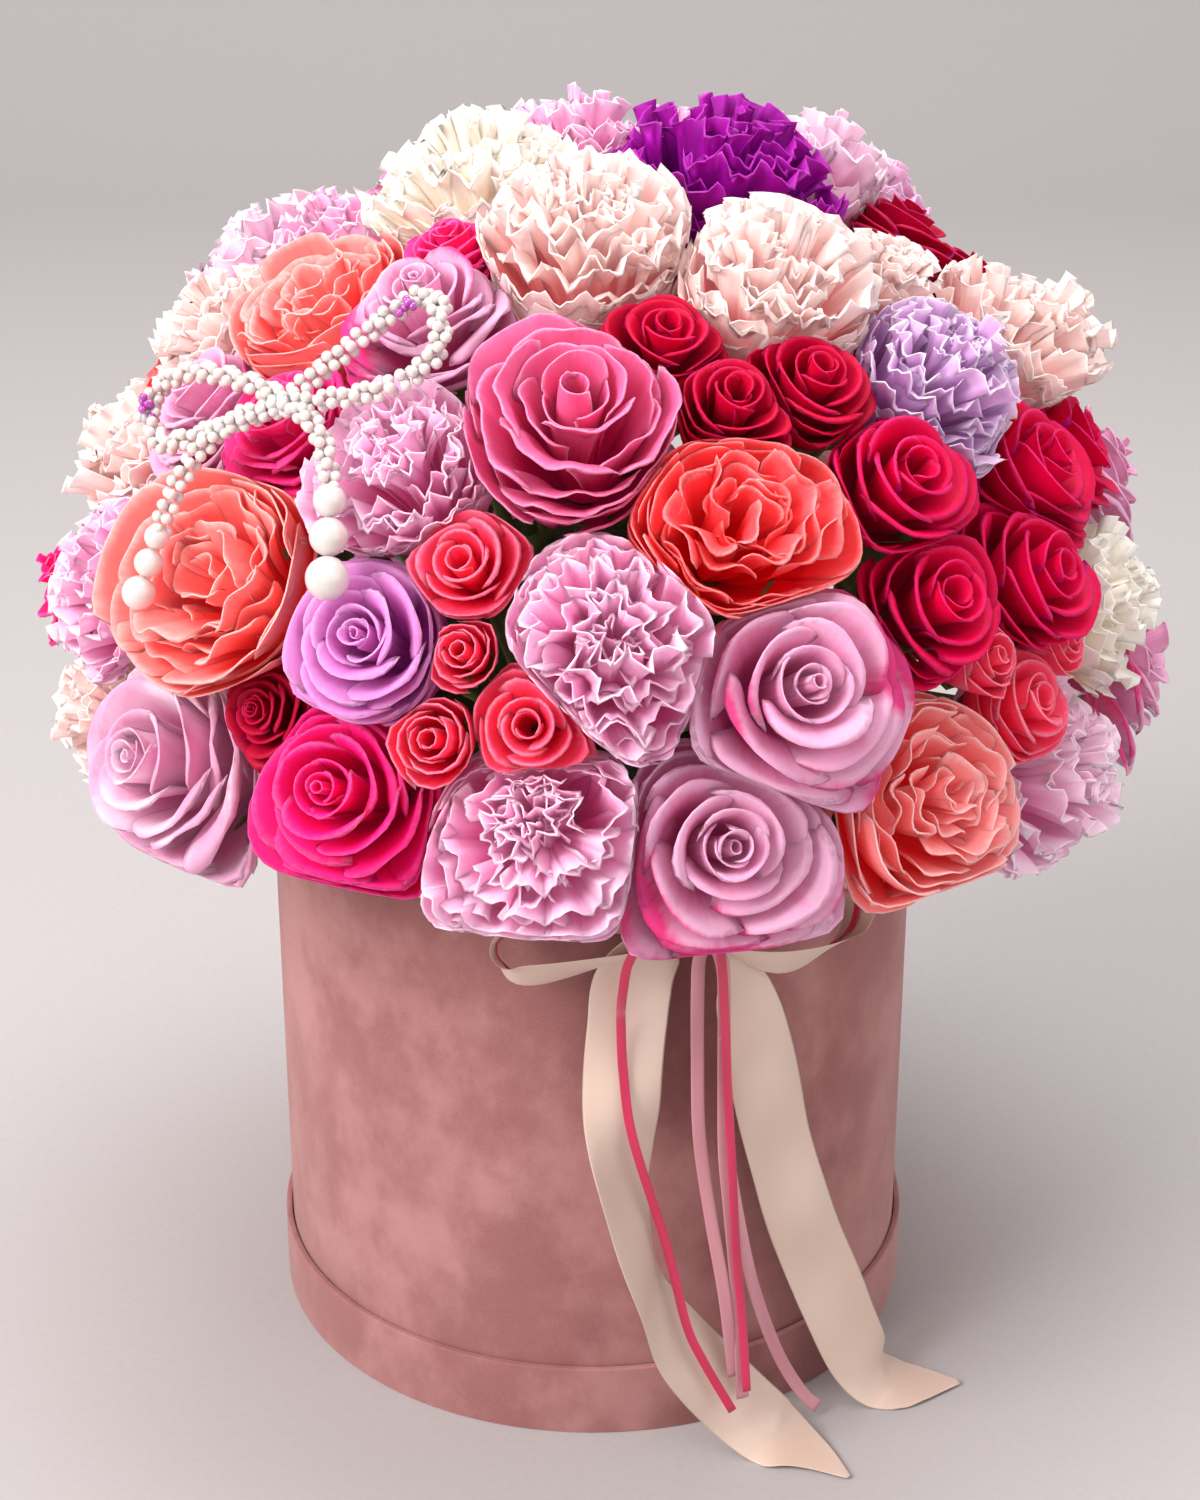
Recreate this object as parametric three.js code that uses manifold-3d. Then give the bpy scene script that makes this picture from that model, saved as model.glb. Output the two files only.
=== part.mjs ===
// A round velvet hat box packed with a dome of roses and carnations, with a satin bow and a pearl bow.
// Millimetres, +Z up. The origin is the middle of the base tray's underside, and -Y is the front.
import * as THREE from 'three';
import Module from 'manifold-3d';

const wasm = await Module();
wasm.setup();

// Hat box, base tray and liner
const BOX_RADIUS = 109;
const BOX_TOP = 205;
const CARD = 2.2;
const TRAY_RADIUS = 111.6;
const TRAY_HEIGHT = 25.8;
const TRAY_FLOOR = 1.7;
const FIT = 0.4;
const LINER_WALL = 0.8;
const LINER_TOP = 200;
const ROUND_SIDES = 38;

// Floral foam: it fills the liner and domes up over the rim
const FOAM_RADIUS = 101;
const FOAM_RISE = 80;
const FOAM_SIDES = 16;
const FOAM_BANDS = 3;

// Dome of flowers: an ellipsoid through the tops of the blooms
const DOME_RADIUS = 182;
const DOME_UP = 168;
const DOME_DOWN = 92;
const DOME_Z = 248;
const HEAD_SINK = 18;
const AIM = new THREE.Vector3(0, 0, 200);

// Stems
const STEM_RADIUS = 2.6;
const BRANCH_RADIUS = 1.8;
const STEM_SIDES = 4;
const HOLE_DEPTH = 28;
const HOLE_GAP = 0.4;
const JUNCTION_OUT = 11;

// Room that a head keeps to its neighbour, and how sharply petals flatten against it
const HEAD_GAP = 0.7;
const SQUEEZE = 5;
const HEAD_FULL = 1.3;

// The lowest blooms end this far below their middle, in reaches, where no neighbour holds them up
const SKIRT = 1.05;
const SKIRT_BELOW = 8;

// They look up more steeply, away from a lower point
const LOW_AIM = new THREE.Vector3(0, 0, 170);

// A head's petals start at a turn of its own, and a spray's stalk meets it below its base, in reaches
const TURN_OF_INDEX = 37;
const TURN_OF_NAME = 23;
const TURN_MOST = 72;
const NECK = 1.25;

// Ribbons and pearls
const SATIN_WIDTH = 25;
const PINK_WIDTH = 4.4;
const MAGENTA_WIDTH = 3;
const RIBBON_THICK = 0.8;
const PEARL = 4.6;
const STRAND_GAP = 3.2;
const KNOT_BEAD = 4.6;
const KNOT_SIDES = 6;
const PICK_RADIUS = 0.9;
const PICK_SIDES = 4;

const COLOURS = {
  velvet: 0xb87a78, liner: 0xd9dedd, foam: 0x3f5a3a,
  satin: 0xecd9cc, pinkRibbon: 0xe2a3ae, magentaRibbon: 0xc8195f, pearl: 0xf2ece6,
  lilac: 0xc79ac0, paleLilac: 0xd9b9d6, blush: 0xedcfca, cream: 0xf0e6da, purple: 0x8c159c,
  blue: 0xb49fc9, dusty: 0xc7a9c4, roseLilac: 0xbd8db1, violet: 0xa873b3, hot: 0xd81a72,
  magenta: 0xb91e62, crimson: 0xb8093c, silver: 0xc8a5bd, coral: 0xf2654f, peach: 0xee9a80,
  mauve: 0xc45a8c, red: 0xc4123f, hotRed: 0xd01450, coralPink: 0xe45a68, rosePink: 0xd0588f,
};

const radians = (degrees) => (degrees * Math.PI) / 180;
const vec = (x, y, z) => new THREE.Vector3(x, y, z);

// A closed skin: rings of points are stitched one after the other, and each end closes on a pole
class Skin {
  constructor() {
    this.points = [];
    this.faces = [];
    this.last = null;
  }

  add(points) {
    return points.map((point) => this.points.push(point) - 1);
  }

  start(pole) {
    [this.pole] = this.add([pole]);
    return this;
  }

  ring(points) {
    const next = this.add(points);
    const n = next.length;
    if (this.last) this.stitch(this.last, next);
    else for (let i = 0; i < n; i += 1) this.faces.push([this.pole, next[(i + 1) % n], next[i]]);
    this.last = next;
    return this;
  }

  // A flat band's two faces are split along the same diagonal, so that they keep clear where it twists
  bandRing(points) {
    if (!this.last) return this.ring(points);
    const low = this.last;
    const high = this.add(points);
    for (const i of [0, 1]) {
      const [a, b] = [low[i], low[i + 1]];
      this.faces.push([a, b, high[i]], [b, high[i + 1], high[i]]);
    }
    for (const i of [2, 3]) {
      const j = (i + 1) % 4;
      this.faces.push([low[i], low[j], high[j]], [low[i], high[j], high[i]]);
    }
    this.last = high;
    return this;
  }

  stitch(low, high) {
    const [m, n] = [low.length, high.length];
    let [i, j] = [0, 0];
    while (i < m || j < n) {
      if (j >= n || (i < m && (i + 1) * n <= (j + 1) * m)) {
        this.faces.push([low[i % m], low[(i + 1) % m], high[j % n]]);
        i += 1;
      } else {
        this.faces.push([low[i % m], high[(j + 1) % n], high[j % n]]);
        j += 1;
      }
    }
  }

  finish(pole) {
    const [top] = this.add([pole]);
    const n = this.last.length;
    for (let i = 0; i < n; i += 1) this.faces.push([this.last[i], this.last[(i + 1) % n], top]);
    return this;
  }

  solid() {
    const vertProperties = new Float32Array(this.points.flatMap((p) => p.toArray()));
    const triVerts = new Uint32Array(this.faces.flat());
    return new wasm.Manifold(new wasm.Mesh({ numProp: 3, vertProperties, triVerts }));
  }
}

function geometryOf(solid) {
  const mesh = solid.getMesh();
  const geometry = new THREE.BufferGeometry();
  geometry.setAttribute('position', new THREE.BufferAttribute(new Float32Array(mesh.vertProperties), 3));
  geometry.setIndex(new THREE.BufferAttribute(new Uint32Array(mesh.triVerts), 1));
  geometry.computeVertexNormals();
  return geometry;
}

const group = new THREE.Group();

function place(name, geometry, colour, roughness = 0.8, metalness = 0) {
  const material = new THREE.MeshStandardMaterial({ color: COLOURS[colour], roughness, metalness });
  const mesh = new THREE.Mesh(geometry, material);
  mesh.name = name;
  group.add(mesh);
}

// Turned pieces: a profile of radius and height pairs spun round Z
function lathe(profile, sides) {
  const outline = profile.map(([r, z]) => new THREE.Vector2(r, z));
  return new THREE.LatheGeometry(outline, sides).rotateX(Math.PI / 2);
}

function cup(outer, bottom, top, floor, wall) {
  const inner = outer - wall;
  return lathe([[0, bottom], [outer, bottom], [outer, top], [inner, top],
    [inner, bottom + floor], [0, bottom + floor]], ROUND_SIDES);
}

const boxBottom = TRAY_FLOOR + FIT;
const linerOuter = BOX_RADIUS - CARD - FIT;
const linerBottom = boxBottom + CARD + FIT;
const foamOuter = linerOuter - LINER_WALL - FIT;
const foamBottom = linerBottom + LINER_WALL + FIT;
const trayWall = TRAY_RADIUS - BOX_RADIUS - FIT;

place('base_tray', cup(TRAY_RADIUS, 0, TRAY_HEIGHT, TRAY_FLOOR, trayWall), 'velvet', 0.95);
place('hat_box', cup(BOX_RADIUS, boxBottom, BOX_TOP, CARD, CARD), 'velvet', 0.95);
place('water_liner', cup(linerOuter, linerBottom, LINER_TOP, LINER_WALL, LINER_WALL), 'liner', 0.3);

// Two directions square to an axis, the first one level, so that rings on one line never twist
function crossAxes(axis) {
  const level = Math.abs(axis.z) > 0.999 ? vec(1, 0, 0) : vec(-axis.y, axis.x, 0).normalize();
  return [level, axis.clone().cross(level)];
}

function circle(centre, axis, radius, sides = STEM_SIDES) {
  const [right, up] = crossAxes(axis);
  return Array.from({ length: sides }, (_, i) => {
    const angle = (2 * Math.PI * i) / sides;
    return centre.clone().addScaledVector(right, radius * Math.cos(angle))
      .addScaledVector(up, radius * Math.sin(angle));
  });
}

// Places on the dome: east is the turn from the front towards +X, up is the height angle
function domePoint(east, up, sink) {
  const rise = up > 0 ? DOME_UP : DOME_DOWN;
  const flat = DOME_RADIUS * Math.cos(radians(up));
  const [x, y] = [flat * Math.sin(radians(east)), -flat * Math.cos(radians(east))];
  const shell = vec(x, y, rise * Math.sin(radians(up)));
  return shell.multiplyScalar(1 - sink / DOME_RADIUS).add(vec(0, 0, DOME_Z));
}

// Where a line from the aim point leaves the foam's dome, as a distance along it
function foamReach(direction) {
  const flat = Math.hypot(direction.x, direction.y) / FOAM_RADIUS;
  const rise = direction.z / FOAM_RISE;
  return 1 / Math.hypot(flat, rise);
}

// Petal layers. Each row is one ring of a head, in head radii: radius, height, points on the ring,
// petals round it, how far petals stand out and up, and the turn of the ring in degrees.
const HEADS = {
  rose: [
    [0.20, -0.98, 5, 5, 0, 0, 0],
    [0.66, -0.52, 5, 5, 0, 0, 0],
    [0.97, -0.02, 15, 5, 0.09, -0.10, 12],
    [0.84, 0.10, 10, 5, 0.05, 0.02, 12],
    [0.66, -0.10, 10, 5, 0.03, 0, 0],
    [0.66, 0.24, 10, 5, 0.07, 0.04, 0],
    [0.44, 0.00, 8, 4, 0.04, 0, 0],
    [0.40, 0.33, 8, 4, 0.08, 0.03, 0],
    [0.17, 0.12, 4, 4, 0, 0, 0],
  ],
  garden: [
    [0.20, -0.98, 5, 5, 0, 0, 0],
    [0.70, -0.50, 5, 5, 0, 0, 0],
    [1.00, -0.02, 15, 5, 0.08, -0.12, 12],
    [0.88, 0.13, 10, 5, 0.05, 0.03, 12],
    [0.72, -0.04, 10, 5, 0.03, 0, 0],
    [0.70, 0.25, 10, 5, 0.06, 0.05, 0],
    [0.53, 0.03, 12, 6, 0.04, 0, 0],
    [0.47, 0.27, 12, 6, 0.13, 0.04, 0],
    [0.30, 0.05, 8, 4, 0.05, 0, 0],
    [0.24, 0.25, 8, 4, 0.20, 0.04, 0],
    [0.10, 0.08, 4, 4, 0, 0, 0],
  ],
  carnation: [
    [0.24, -0.98, 5, 5, 0, 0, 0],
    [0.98, -0.12, 12, 6, 0.07, 0.06, 0],
    [0.66, -0.05, 12, 6, -0.07, -0.03, 0],
    [0.80, 0.20, 12, 6, 0.09, -0.05, 0],
    [0.48, 0.06, 10, 5, -0.07, 0.02, 0],
    [0.52, 0.36, 10, 5, 0.11, -0.04, 0],
    [0.24, 0.18, 6, 3, 0, 0, 0],
    [0.22, 0.44, 6, 3, 0.25, 0, 0],
  ],
  spray: [
    [0.20, -0.98, 5, 5, 0, 0, 0],
    [0.68, -0.48, 5, 5, 0, 0, 0],
    [0.96, 0.00, 10, 5, 0.07, -0.06, 0],
    [0.74, 0.03, 10, 5, 0.04, 0, 0],
    [0.66, 0.28, 8, 4, 0.07, 0.02, 0],
    [0.34, 0.08, 6, 3, 0, 0, 0],
    [0.30, 0.34, 6, 3, 0.15, 0, 0],
  ],
  bud: [
    [0.26, -0.98, 5, 5, 0, 0, 0],
    [0.84, -0.30, 5, 5, 0, 0, 0],
    [0.78, 0.32, 8, 4, 0.10, 0.05, 0],
    [0.40, 0.22, 4, 4, 0, 0, 0],
    [0.36, 0.66, 6, 3, 0.12, 0, 0],
  ],
  plain: [
    [0.20, -0.98, 5, 5, 0, 0, 0],
    [0.64, -0.52, 5, 5, 0, 0, 0],
    [0.98, -0.04, 10, 5, 0.07, -0.06, 0],
    [0.70, 0.02, 10, 5, 0.03, 0, 0],
    [0.66, 0.27, 8, 4, 0.09, 0.03, 0],
    [0.34, 0.10, 6, 3, 0.03, 0, 0],
    [0.28, 0.36, 6, 3, 0.16, 0, 0],
  ],
};
const BASE_HEIGHT = -0.9;
const CENTRE_HEIGHT = { rose: 0.34, garden: 0.22, carnation: 0.36, spray: 0.30, bud: 0.66, plain: 0.28 };

// Flowers: name, colour and heads. A head is its kind, east and up in degrees, reach in millimetres,
// and how far it stands out of the dome.
const FLOWERS = [
  ['carnation_lilac_top', 'lilac', [['carnation', 188, 78, 23, 3]]],
  ['carnation_white', 'cream', [['carnation', -78, 77, 31, 0]]],
  ['carnation_purple', 'purple', [['carnation', 86, 76, 33, 0]]],
  ['carnation_blush_front', 'blush', [['carnation', -2, 70, 33, 0]]],
  ['carnation_blush_right', 'blush', [['carnation', 40, 59, 32, 2]]],
  ['carnation_lilac_top_right', 'paleLilac', [['carnation', 118, 62, 28, 8]]],
  ['carnation_dusty_top', 'dusty', [['carnation', 146, 73, 17, 3]]],
  ['carnation_blue', 'blue', [['carnation', 56, 43, 28, 3]]],
  ['carnation_blush_far_right', 'blush', [['carnation', 88, 37, 30, 8]]],
  ['carnation_lilac_upper_right', 'dusty', [['carnation', 126, 50, 26, 6]]],
  ['carnation_blush_small', 'blush', [['carnation', 70, 55, 18, 2]]],
  ['carnation_cream_right', 'cream', [['carnation', 76, 9, 24, 2]]],
  ['carnation_lilac_right_low', 'paleLilac', [['carnation', 60, -10, 29, 0]]],
  ['carnation_lilac_centre', 'lilac', [['carnation', 2, 21, 35, 2]]],
  ['carnation_lilac_low', 'lilac', [['carnation', -5, 1.5, 34, 0]]],
  ['carnation_lilac_left', 'lilac', [['carnation', -24, 38, 28, 0]]],
  ['carnation_lilac_left_edge', 'lilac', [['carnation', -68, 15, 25, 0]]],
  ['carnation_blush_left_edge', 'blush', [['carnation', -88, 25, 24, -4]]],
  ['carnation_blush_upper_left', 'blush', [['carnation', -94, 42, 24, -6]]],
  ['carnation_lilac_upper_left', 'lilac', [['carnation', -108, 57, 22, -6]]],
  ['carnation_blush_low_left', 'blush', [['carnation', -76, -10, 22, 0]]],
  ['garden_coral_upper_left', 'coral', [['garden', -62, 55, 29, -4]]],
  ['garden_mauve', 'mauve', [['garden', -2, 45, 35, 4]]],
  ['garden_coral_centre', 'coral', [['garden', 17, 33, 34, 4]]],
  ['garden_peach', 'peach', [['garden', 37, 0, 30, 2]]],
  ['garden_coral_left', 'coral', [['garden', -44, 22, 33, 4]]],
  ['rose_lilac_upper_left', 'roseLilac', [['rose', -32, 57, 24, 0]]],
  ['rose_lilac_right_edge', 'roseLilac', [['rose', 97, 17, 25, 6]]],
  ['rose_lilac_right_low', 'roseLilac', [['rose', 85, -5, 31, 5]]],
  ['rose_lilac_centre', 'roseLilac', [['rose', 20, 15.5, 35, 4]]],
  ['rose_lilac_low', 'roseLilac', [['rose', 12.5, -1.5, 33, 2]]],
  ['rose_violet', 'violet', [['rose', -23, 20, 26, 2]]],
  ['rose_hot', 'hot', [['rose', -25, 3, 29, 0]]],
  ['rose_silver', 'silver', [['rose', -49, -1, 31, 2]]],
  ['rose_magenta', 'magenta', [['rose', -46, 40, 20, -3]]],
  ['rose_lilac_small', 'roseLilac', [['rose', -68, 38, 20, -5]]],
  ['rose_pink_left_edge', 'hot', [['rose', -88, 6, 24, 2]]],
  ['rose_pink_top', 'rosePink', [['rose', -130, 67, 21, -2]]],
  ['rose_magenta_top', 'magenta', [['rose', -45, 68, 15, -4]]],
  ['rose_crimson_low', 'crimson', [['rose', -37, 9, 14, -6]]],
  ['spray_red', 'red', [['spray', 13, 55, 17, 0], ['spray', 20, 46, 18, 2], ['spray', 34, 47, 18, 2]]],
  ['spray_hot_front', 'hotRed', [['spray', 40, 34, 22, 4], ['spray', 40, 21, 21, 2]]],
  ['spray_hot_right', 'hotRed', [['spray', 66, 29, 22, 4], ['spray', 56, 19, 22, 4],
    ['spray', 84, 26, 21, 4]]],
  ['spray_coral_right', 'coralPink', [['spray', 51, 6, 18, 2], ['bud', 45, 13, 12, 0],
    ['bud', 60, 10, 10, 0]]],
  ['spray_coral_left', 'coralPink', [['spray', -14, 29, 17, 2], ['spray', -6, 13, 18, 2],
    ['bud', -15, 11, 13, 4], ['bud', -13, 20, 11, 2]]],
  ['spray_crimson', 'crimson', [['spray', 104, 53, 18, 6], ['spray', 110, 40, 21, 6]]],
  ['carnations_back_right', 'lilac', [['plain', 108, -6, 33, 0], ['plain', 119, 20, 31, 0],
    ['plain', 138, 42, 26, 0]]],
  ['roses_back_right', 'hot', [['plain', 132, -6, 34, 0], ['plain', 144, 19, 32, 0],
    ['plain', 162, 42, 28, 0], ['plain', 160, 61, 23, -2]]],
  ['carnations_back_middle', 'blush', [['plain', 156, -6, 34, 0], ['plain', 168, 19, 32, 0],
    ['plain', 188, 42, 29, 0], ['plain', 200, 62, 25, 0]]],
  ['roses_back_middle', 'roseLilac', [['plain', 180, -6, 34, 0], ['plain', 192, 19, 32, 0],
    ['plain', 214, 42, 29, 0]]],
  ['carnations_back_left', 'paleLilac', [['plain', 204, -6, 34, 0], ['plain', 216, 19, 32, 0],
    ['plain', 240, 42, 29, 0]]],
  ['roses_back_left', 'coral', [['plain', 228, -6, 34, 0], ['plain', 241, 19, 32, 0],
    ['plain', 252, -6, 32, 0]]],
];

const heads = FLOWERS.flatMap(([flower, , list]) => list.map(([kind, east, up, reach, out], index) => {
  const centre = domePoint(east, up, HEAD_SINK - out);
  const facing = centre.clone().sub(up < SKIRT_BELOW ? LOW_AIM : AIM).normalize();
  const turn = (TURN_OF_INDEX * index + TURN_OF_NAME * flower.length) % TURN_MOST;
  const skirt = up < SKIRT_BELOW ? SKIRT * reach : 0;
  return { flower, kind, reach: HEAD_FULL * reach, centre, facing, turn, skirt };
}));

// The pearl bow stands on a wire pick, which needs its own room between the heads
const PICK_PLACE = { east: -38, up: 41, reach: 2 };
const pearlKnot = vec(-87, -111, 362);
heads.push({ flower: 'pearl_bow', kind: 'pick', reach: PICK_PLACE.reach,
  centre: domePoint(PICK_PLACE.east, PICK_PLACE.up, HEAD_SINK) });

// Walls between a head and its neighbours: each pair shares the room between its centres by reach.
// The lowest heads have a wall below them too, where their skirt ends.
for (const head of heads) {
  head.walls = heads.filter((other) => other !== head).map((other) => {
    const apart = other.centre.clone().sub(head.centre);
    const distance = apart.length();
    const reach = (distance * head.reach) / (head.reach + other.reach) - HEAD_GAP / 2;
    return { normal: apart.normalize(), reach };
  }).filter((wall) => wall.reach < 2 * head.reach);
  if (head.skirt) head.walls.push({ normal: crossAxes(head.facing)[1].negate(), reach: head.skirt });
}

// Petals that meet a wall flatten against it: the point moves towards the head's centre
function squeeze(head, point) {
  const out = point.clone().sub(head.centre);
  let sum = 1;
  for (const wall of head.walls) {
    const share = out.dot(wall.normal) / wall.reach;
    if (share > 0) sum += share ** SQUEEZE;
  }
  return out.multiplyScalar(sum ** (-1 / SQUEEZE)).add(head.centre);
}

function headRing(head, [radius, height, count, petals, outward, upward, shift]) {
  const [right, up] = crossAxes(head.facing);
  const start = radians(height < BASE_HEIGHT ? 0 : head.turn);
  return Array.from({ length: count }, (_, i) => {
    const angle = (2 * Math.PI * i) / count + start;
    const wave = Math.cos(petals * ((2 * Math.PI * i) / count + radians(shift)));
    const out = head.reach * radius * (1 + outward * wave);
    const point = head.centre.clone().addScaledVector(right, out * Math.cos(angle))
      .addScaledVector(up, out * Math.sin(angle))
      .addScaledVector(head.facing, head.reach * (height + upward * wave));
    return squeeze(head, point);
  });
}

// A head on its stem, from the stem's cut end to the innermost petals
function flowerSkin(head, stem, radius) {
  const skin = new Skin().start(stem[0].point);
  for (const { point, axis } of stem) skin.ring(circle(point, axis, radius));
  for (const row of HEADS[head.kind]) skin.ring(headRing(head, row));
  const middle = head.centre.clone().addScaledVector(head.facing, head.reach * CENTRE_HEIGHT[head.kind]);
  return skin.finish(squeeze(head, middle));
}

function stemLine(towards, outside) {
  const axis = towards.clone().sub(AIM).normalize();
  const entry = foamReach(axis);
  const at = (distance) => AIM.clone().addScaledVector(axis, distance);
  const end = at(entry - HOLE_DEPTH);
  return { axis, end, mouth: at(entry + outside), deep: at(entry - HOLE_DEPTH - HOLE_GAP) };
}

function tube(points, axis, radius, sides = STEM_SIDES) {
  const skin = new Skin().start(points[0]);
  for (const point of points) skin.ring(circle(point, axis, radius, sides));
  return skin.finish(points[points.length - 1]);
}

const pick = stemLine(pearlKnot, JUNCTION_OUT);
const holes = [tube([pick.deep, pick.mouth], pick.axis, PICK_RADIUS + HOLE_GAP, PICK_SIDES).solid()];

function flowerSolid(list) {
  const middle = list.reduce((sum, head) => sum.add(head.centre), vec(0, 0, 0)).divideScalar(list.length);
  const line = stemLine(middle, JUNCTION_OUT);
  holes.push(tube([line.deep, line.mouth], line.axis, STEM_RADIUS + HOLE_GAP).solid());
  if (list.length === 1) {
    const stem = [{ point: line.end, axis: line.axis }, { point: line.mouth, axis: line.axis }];
    return flowerSkin(list[0], stem, STEM_RADIUS).solid();
  }
  let solid = tube([line.end, line.mouth], line.axis, STEM_RADIUS).solid();
  for (const head of list) {
    const foot = line.mouth.clone().addScaledVector(line.axis, -STEM_RADIUS);
    const neck = head.centre.clone().addScaledVector(head.facing, -NECK * head.reach);
    const axis = neck.clone().sub(foot).normalize();
    solid = solid.add(flowerSkin(head, [{ point: foot, axis }], BRANCH_RADIUS).solid());
  }
  return solid;
}

for (const [name, colour] of FLOWERS) {
  const list = heads.filter((head) => head.flower === name);
  place(name, geometryOf(flowerSolid(list)), colour, 0.7);
}

// Foam with its stem holes
function foamSkin() {
  const skin = new Skin().start(vec(0, 0, foamBottom));
  const level = (radius, z) => circle(vec(0, 0, z), vec(0, 0, 1), radius, FOAM_SIDES);
  skin.ring(level(foamOuter, foamBottom)).ring(level(foamOuter, LINER_TOP - 1));
  for (let band = 0; band < FOAM_BANDS; band += 1) {
    const angle = (Math.PI / 2) * (band / FOAM_BANDS);
    skin.ring(level(FOAM_RADIUS * Math.cos(angle), AIM.z + FOAM_RISE * Math.sin(angle)));
  }
  return skin.finish(vec(0, 0, AIM.z + FOAM_RISE));
}

place('floral_foam', geometryOf(foamSkin().solid().subtract(wasm.Manifold.union(holes))), 'foam', 1);

// Ribbons: a flat band along a route. Each stop is its middle, the direction of its width,
// and the share of the width that it has there.
function band(stops, width, thick) {
  const middle = (stop) => vec(...stop[0]);
  const skin = new Skin().start(middle(stops[0]));
  stops.forEach((stop, index) => {
    const before = middle(stops[Math.max(index - 1, 0)]);
    const after = middle(stops[Math.min(index + 1, stops.length - 1)]);
    const along = after.sub(before).normalize();
    const across = vec(...stop[1]);
    across.addScaledVector(along, -across.dot(along)).normalize();
    const off = along.clone().cross(across);
    const half = (width * (stop[2] ?? 1)) / 2;
    skin.bandRing([[1, 1], [-1, 1], [-1, -1], [1, -1]].map(([a, b]) => middle(stop)
      .addScaledVector(across, a * half).addScaledVector(off, (b * thick) / 2)));
  });
  return skin.finish(middle(stops[stops.length - 1]));
}

const SATIN_LEFT = [
  [[28, -117, 193], [1, 0.1, 0], 0.4], [[20, -117, 188], [1, 0.1, 0.3], 0.8],
  [[13, -116, 176], [1, 0.1, 0.1]],
  [[11, -116, 160], [1, 0.1, 0]], [[9.5, -117, 140], [1, 0, 0]], [[9.5, -119.5, 118], [0.8, 0.5, 0]],
  [[12, -123, 94], [0.5, 0.85, 0]], [[18, -125, 68], [0.28, 0.96, 0]], [[29, -123, 44], [0.6, 0.75, 0.2]],
  [[46, -119, 20], [0.85, 0.45, 0.25]], [[57, -118, 8], [0.85, 0.5, 0.1]], [[65, -120, 3.2], [0.8, 0.6, 0]],
  [[74, -126, 1.4], [0.7, 0.7, 0], 0.6], [[84, -136, 0.9], [0.6, 0.8, 0], 0.08],
];
const SATIN_RIGHT = [
  [[32, -117, 193], [0.3, 1, 0], 0.35], [[42, -116.5, 186], [0.5, 0.8, 0], 0.5],
  [[47, -114, 170], [0.8, 0.5, 0.2], 0.8],
  [[53, -109, 145], [0.85, 0.5, 0.2]], [[60, -104.8, 110], [0.85, 0.55, 0.2]],
  [[69, -99.6, 76], [0.85, 0.55, 0.2]],
  [[80, -93.6, 44], [0.85, 0.5, 0.2]], [[89, -90.5, 20], [0.8, 0.6, 0.15]], [[97, -88, 6.5], [0.6, 0.8, 0]],
  [[105, -86.5, 2.6], [0.4, 0.9, 0]], [[114, -85.5, 1.2], [0.3, 0.95, 0], 0.7],
  [[126, -85, 0.9], [0.2, 0.97, 0], 0.08],
];
const SATIN_LOOPS = [
  [[[29, -117, 197], [0, -0.9, 0.3], 0.4], [[11, -124, 203], [0, -0.7, 0.7], 0.6],
    [[-12, -127, 203], [0, -0.6, 0.8], 0.6],
    [[-28, -127, 197], [0, -0.8, 0.5], 0.6], [[-28, -127, 188], [0, -0.8, 0.5], 0.6],
    [[-16, -127, 184], [0, -0.6, 0.8], 0.6], [[29, -117, 190], [0, -0.9, 0.3], 0.4]],
  [[[31, -117, 197], [0.3, -0.9, 0.3], 0.4], [[50, -120, 202], [0.3, -0.6, 0.7], 0.6],
    [[68, -111, 203], [0.4, -0.5, 0.8], 0.6], [[82, -101, 199], [0.5, -0.6, 0.5], 0.6],
    [[80, -104, 186], [0.5, -0.6, 0.5], 0.6], [[60, -115.5, 182], [0.3, -0.5, 0.8], 0.6],
    [[31, -117, 190], [0.2, -0.9, 0.3], 0.4]],
  [[[29, -115, 195], [0, 0, 1], 0.4], [[-10, -113.5, 199], [0, 0, 1], 0.5],
    [[-40, -107, 201], [0, 0, 1], 0.5], [[-60, -97.5, 203], [0, 0, 1], 0.4]],
];
const KNOT_EAST = 15.3;
const KNOT_Z = 193;
const KNOT_THICK = 14;
const KNOT_STEPS = [[BOX_RADIUS + 0.3, 0.5], [112, 0.66], [117.5, 0.66], [120.5, 0.4]];

const knotOut = vec(Math.sin(radians(KNOT_EAST)), -Math.cos(radians(KNOT_EAST)), 0);
const knotStops = KNOT_STEPS.map(([out, share]) => [
  knotOut.clone().multiplyScalar(out).setZ(KNOT_Z).toArray(), [0, 0, 1], share]);
const satin = [SATIN_LEFT, SATIN_RIGHT, ...SATIN_LOOPS].map((stops) => (
  band(stops, SATIN_WIDTH, RIBBON_THICK)));
satin.push(band(knotStops, SATIN_WIDTH, KNOT_THICK));
place('satin_bow', geometryOf(wasm.Manifold.union(satin.map((skin) => skin.solid()))), 'satin', 0.35);

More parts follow.
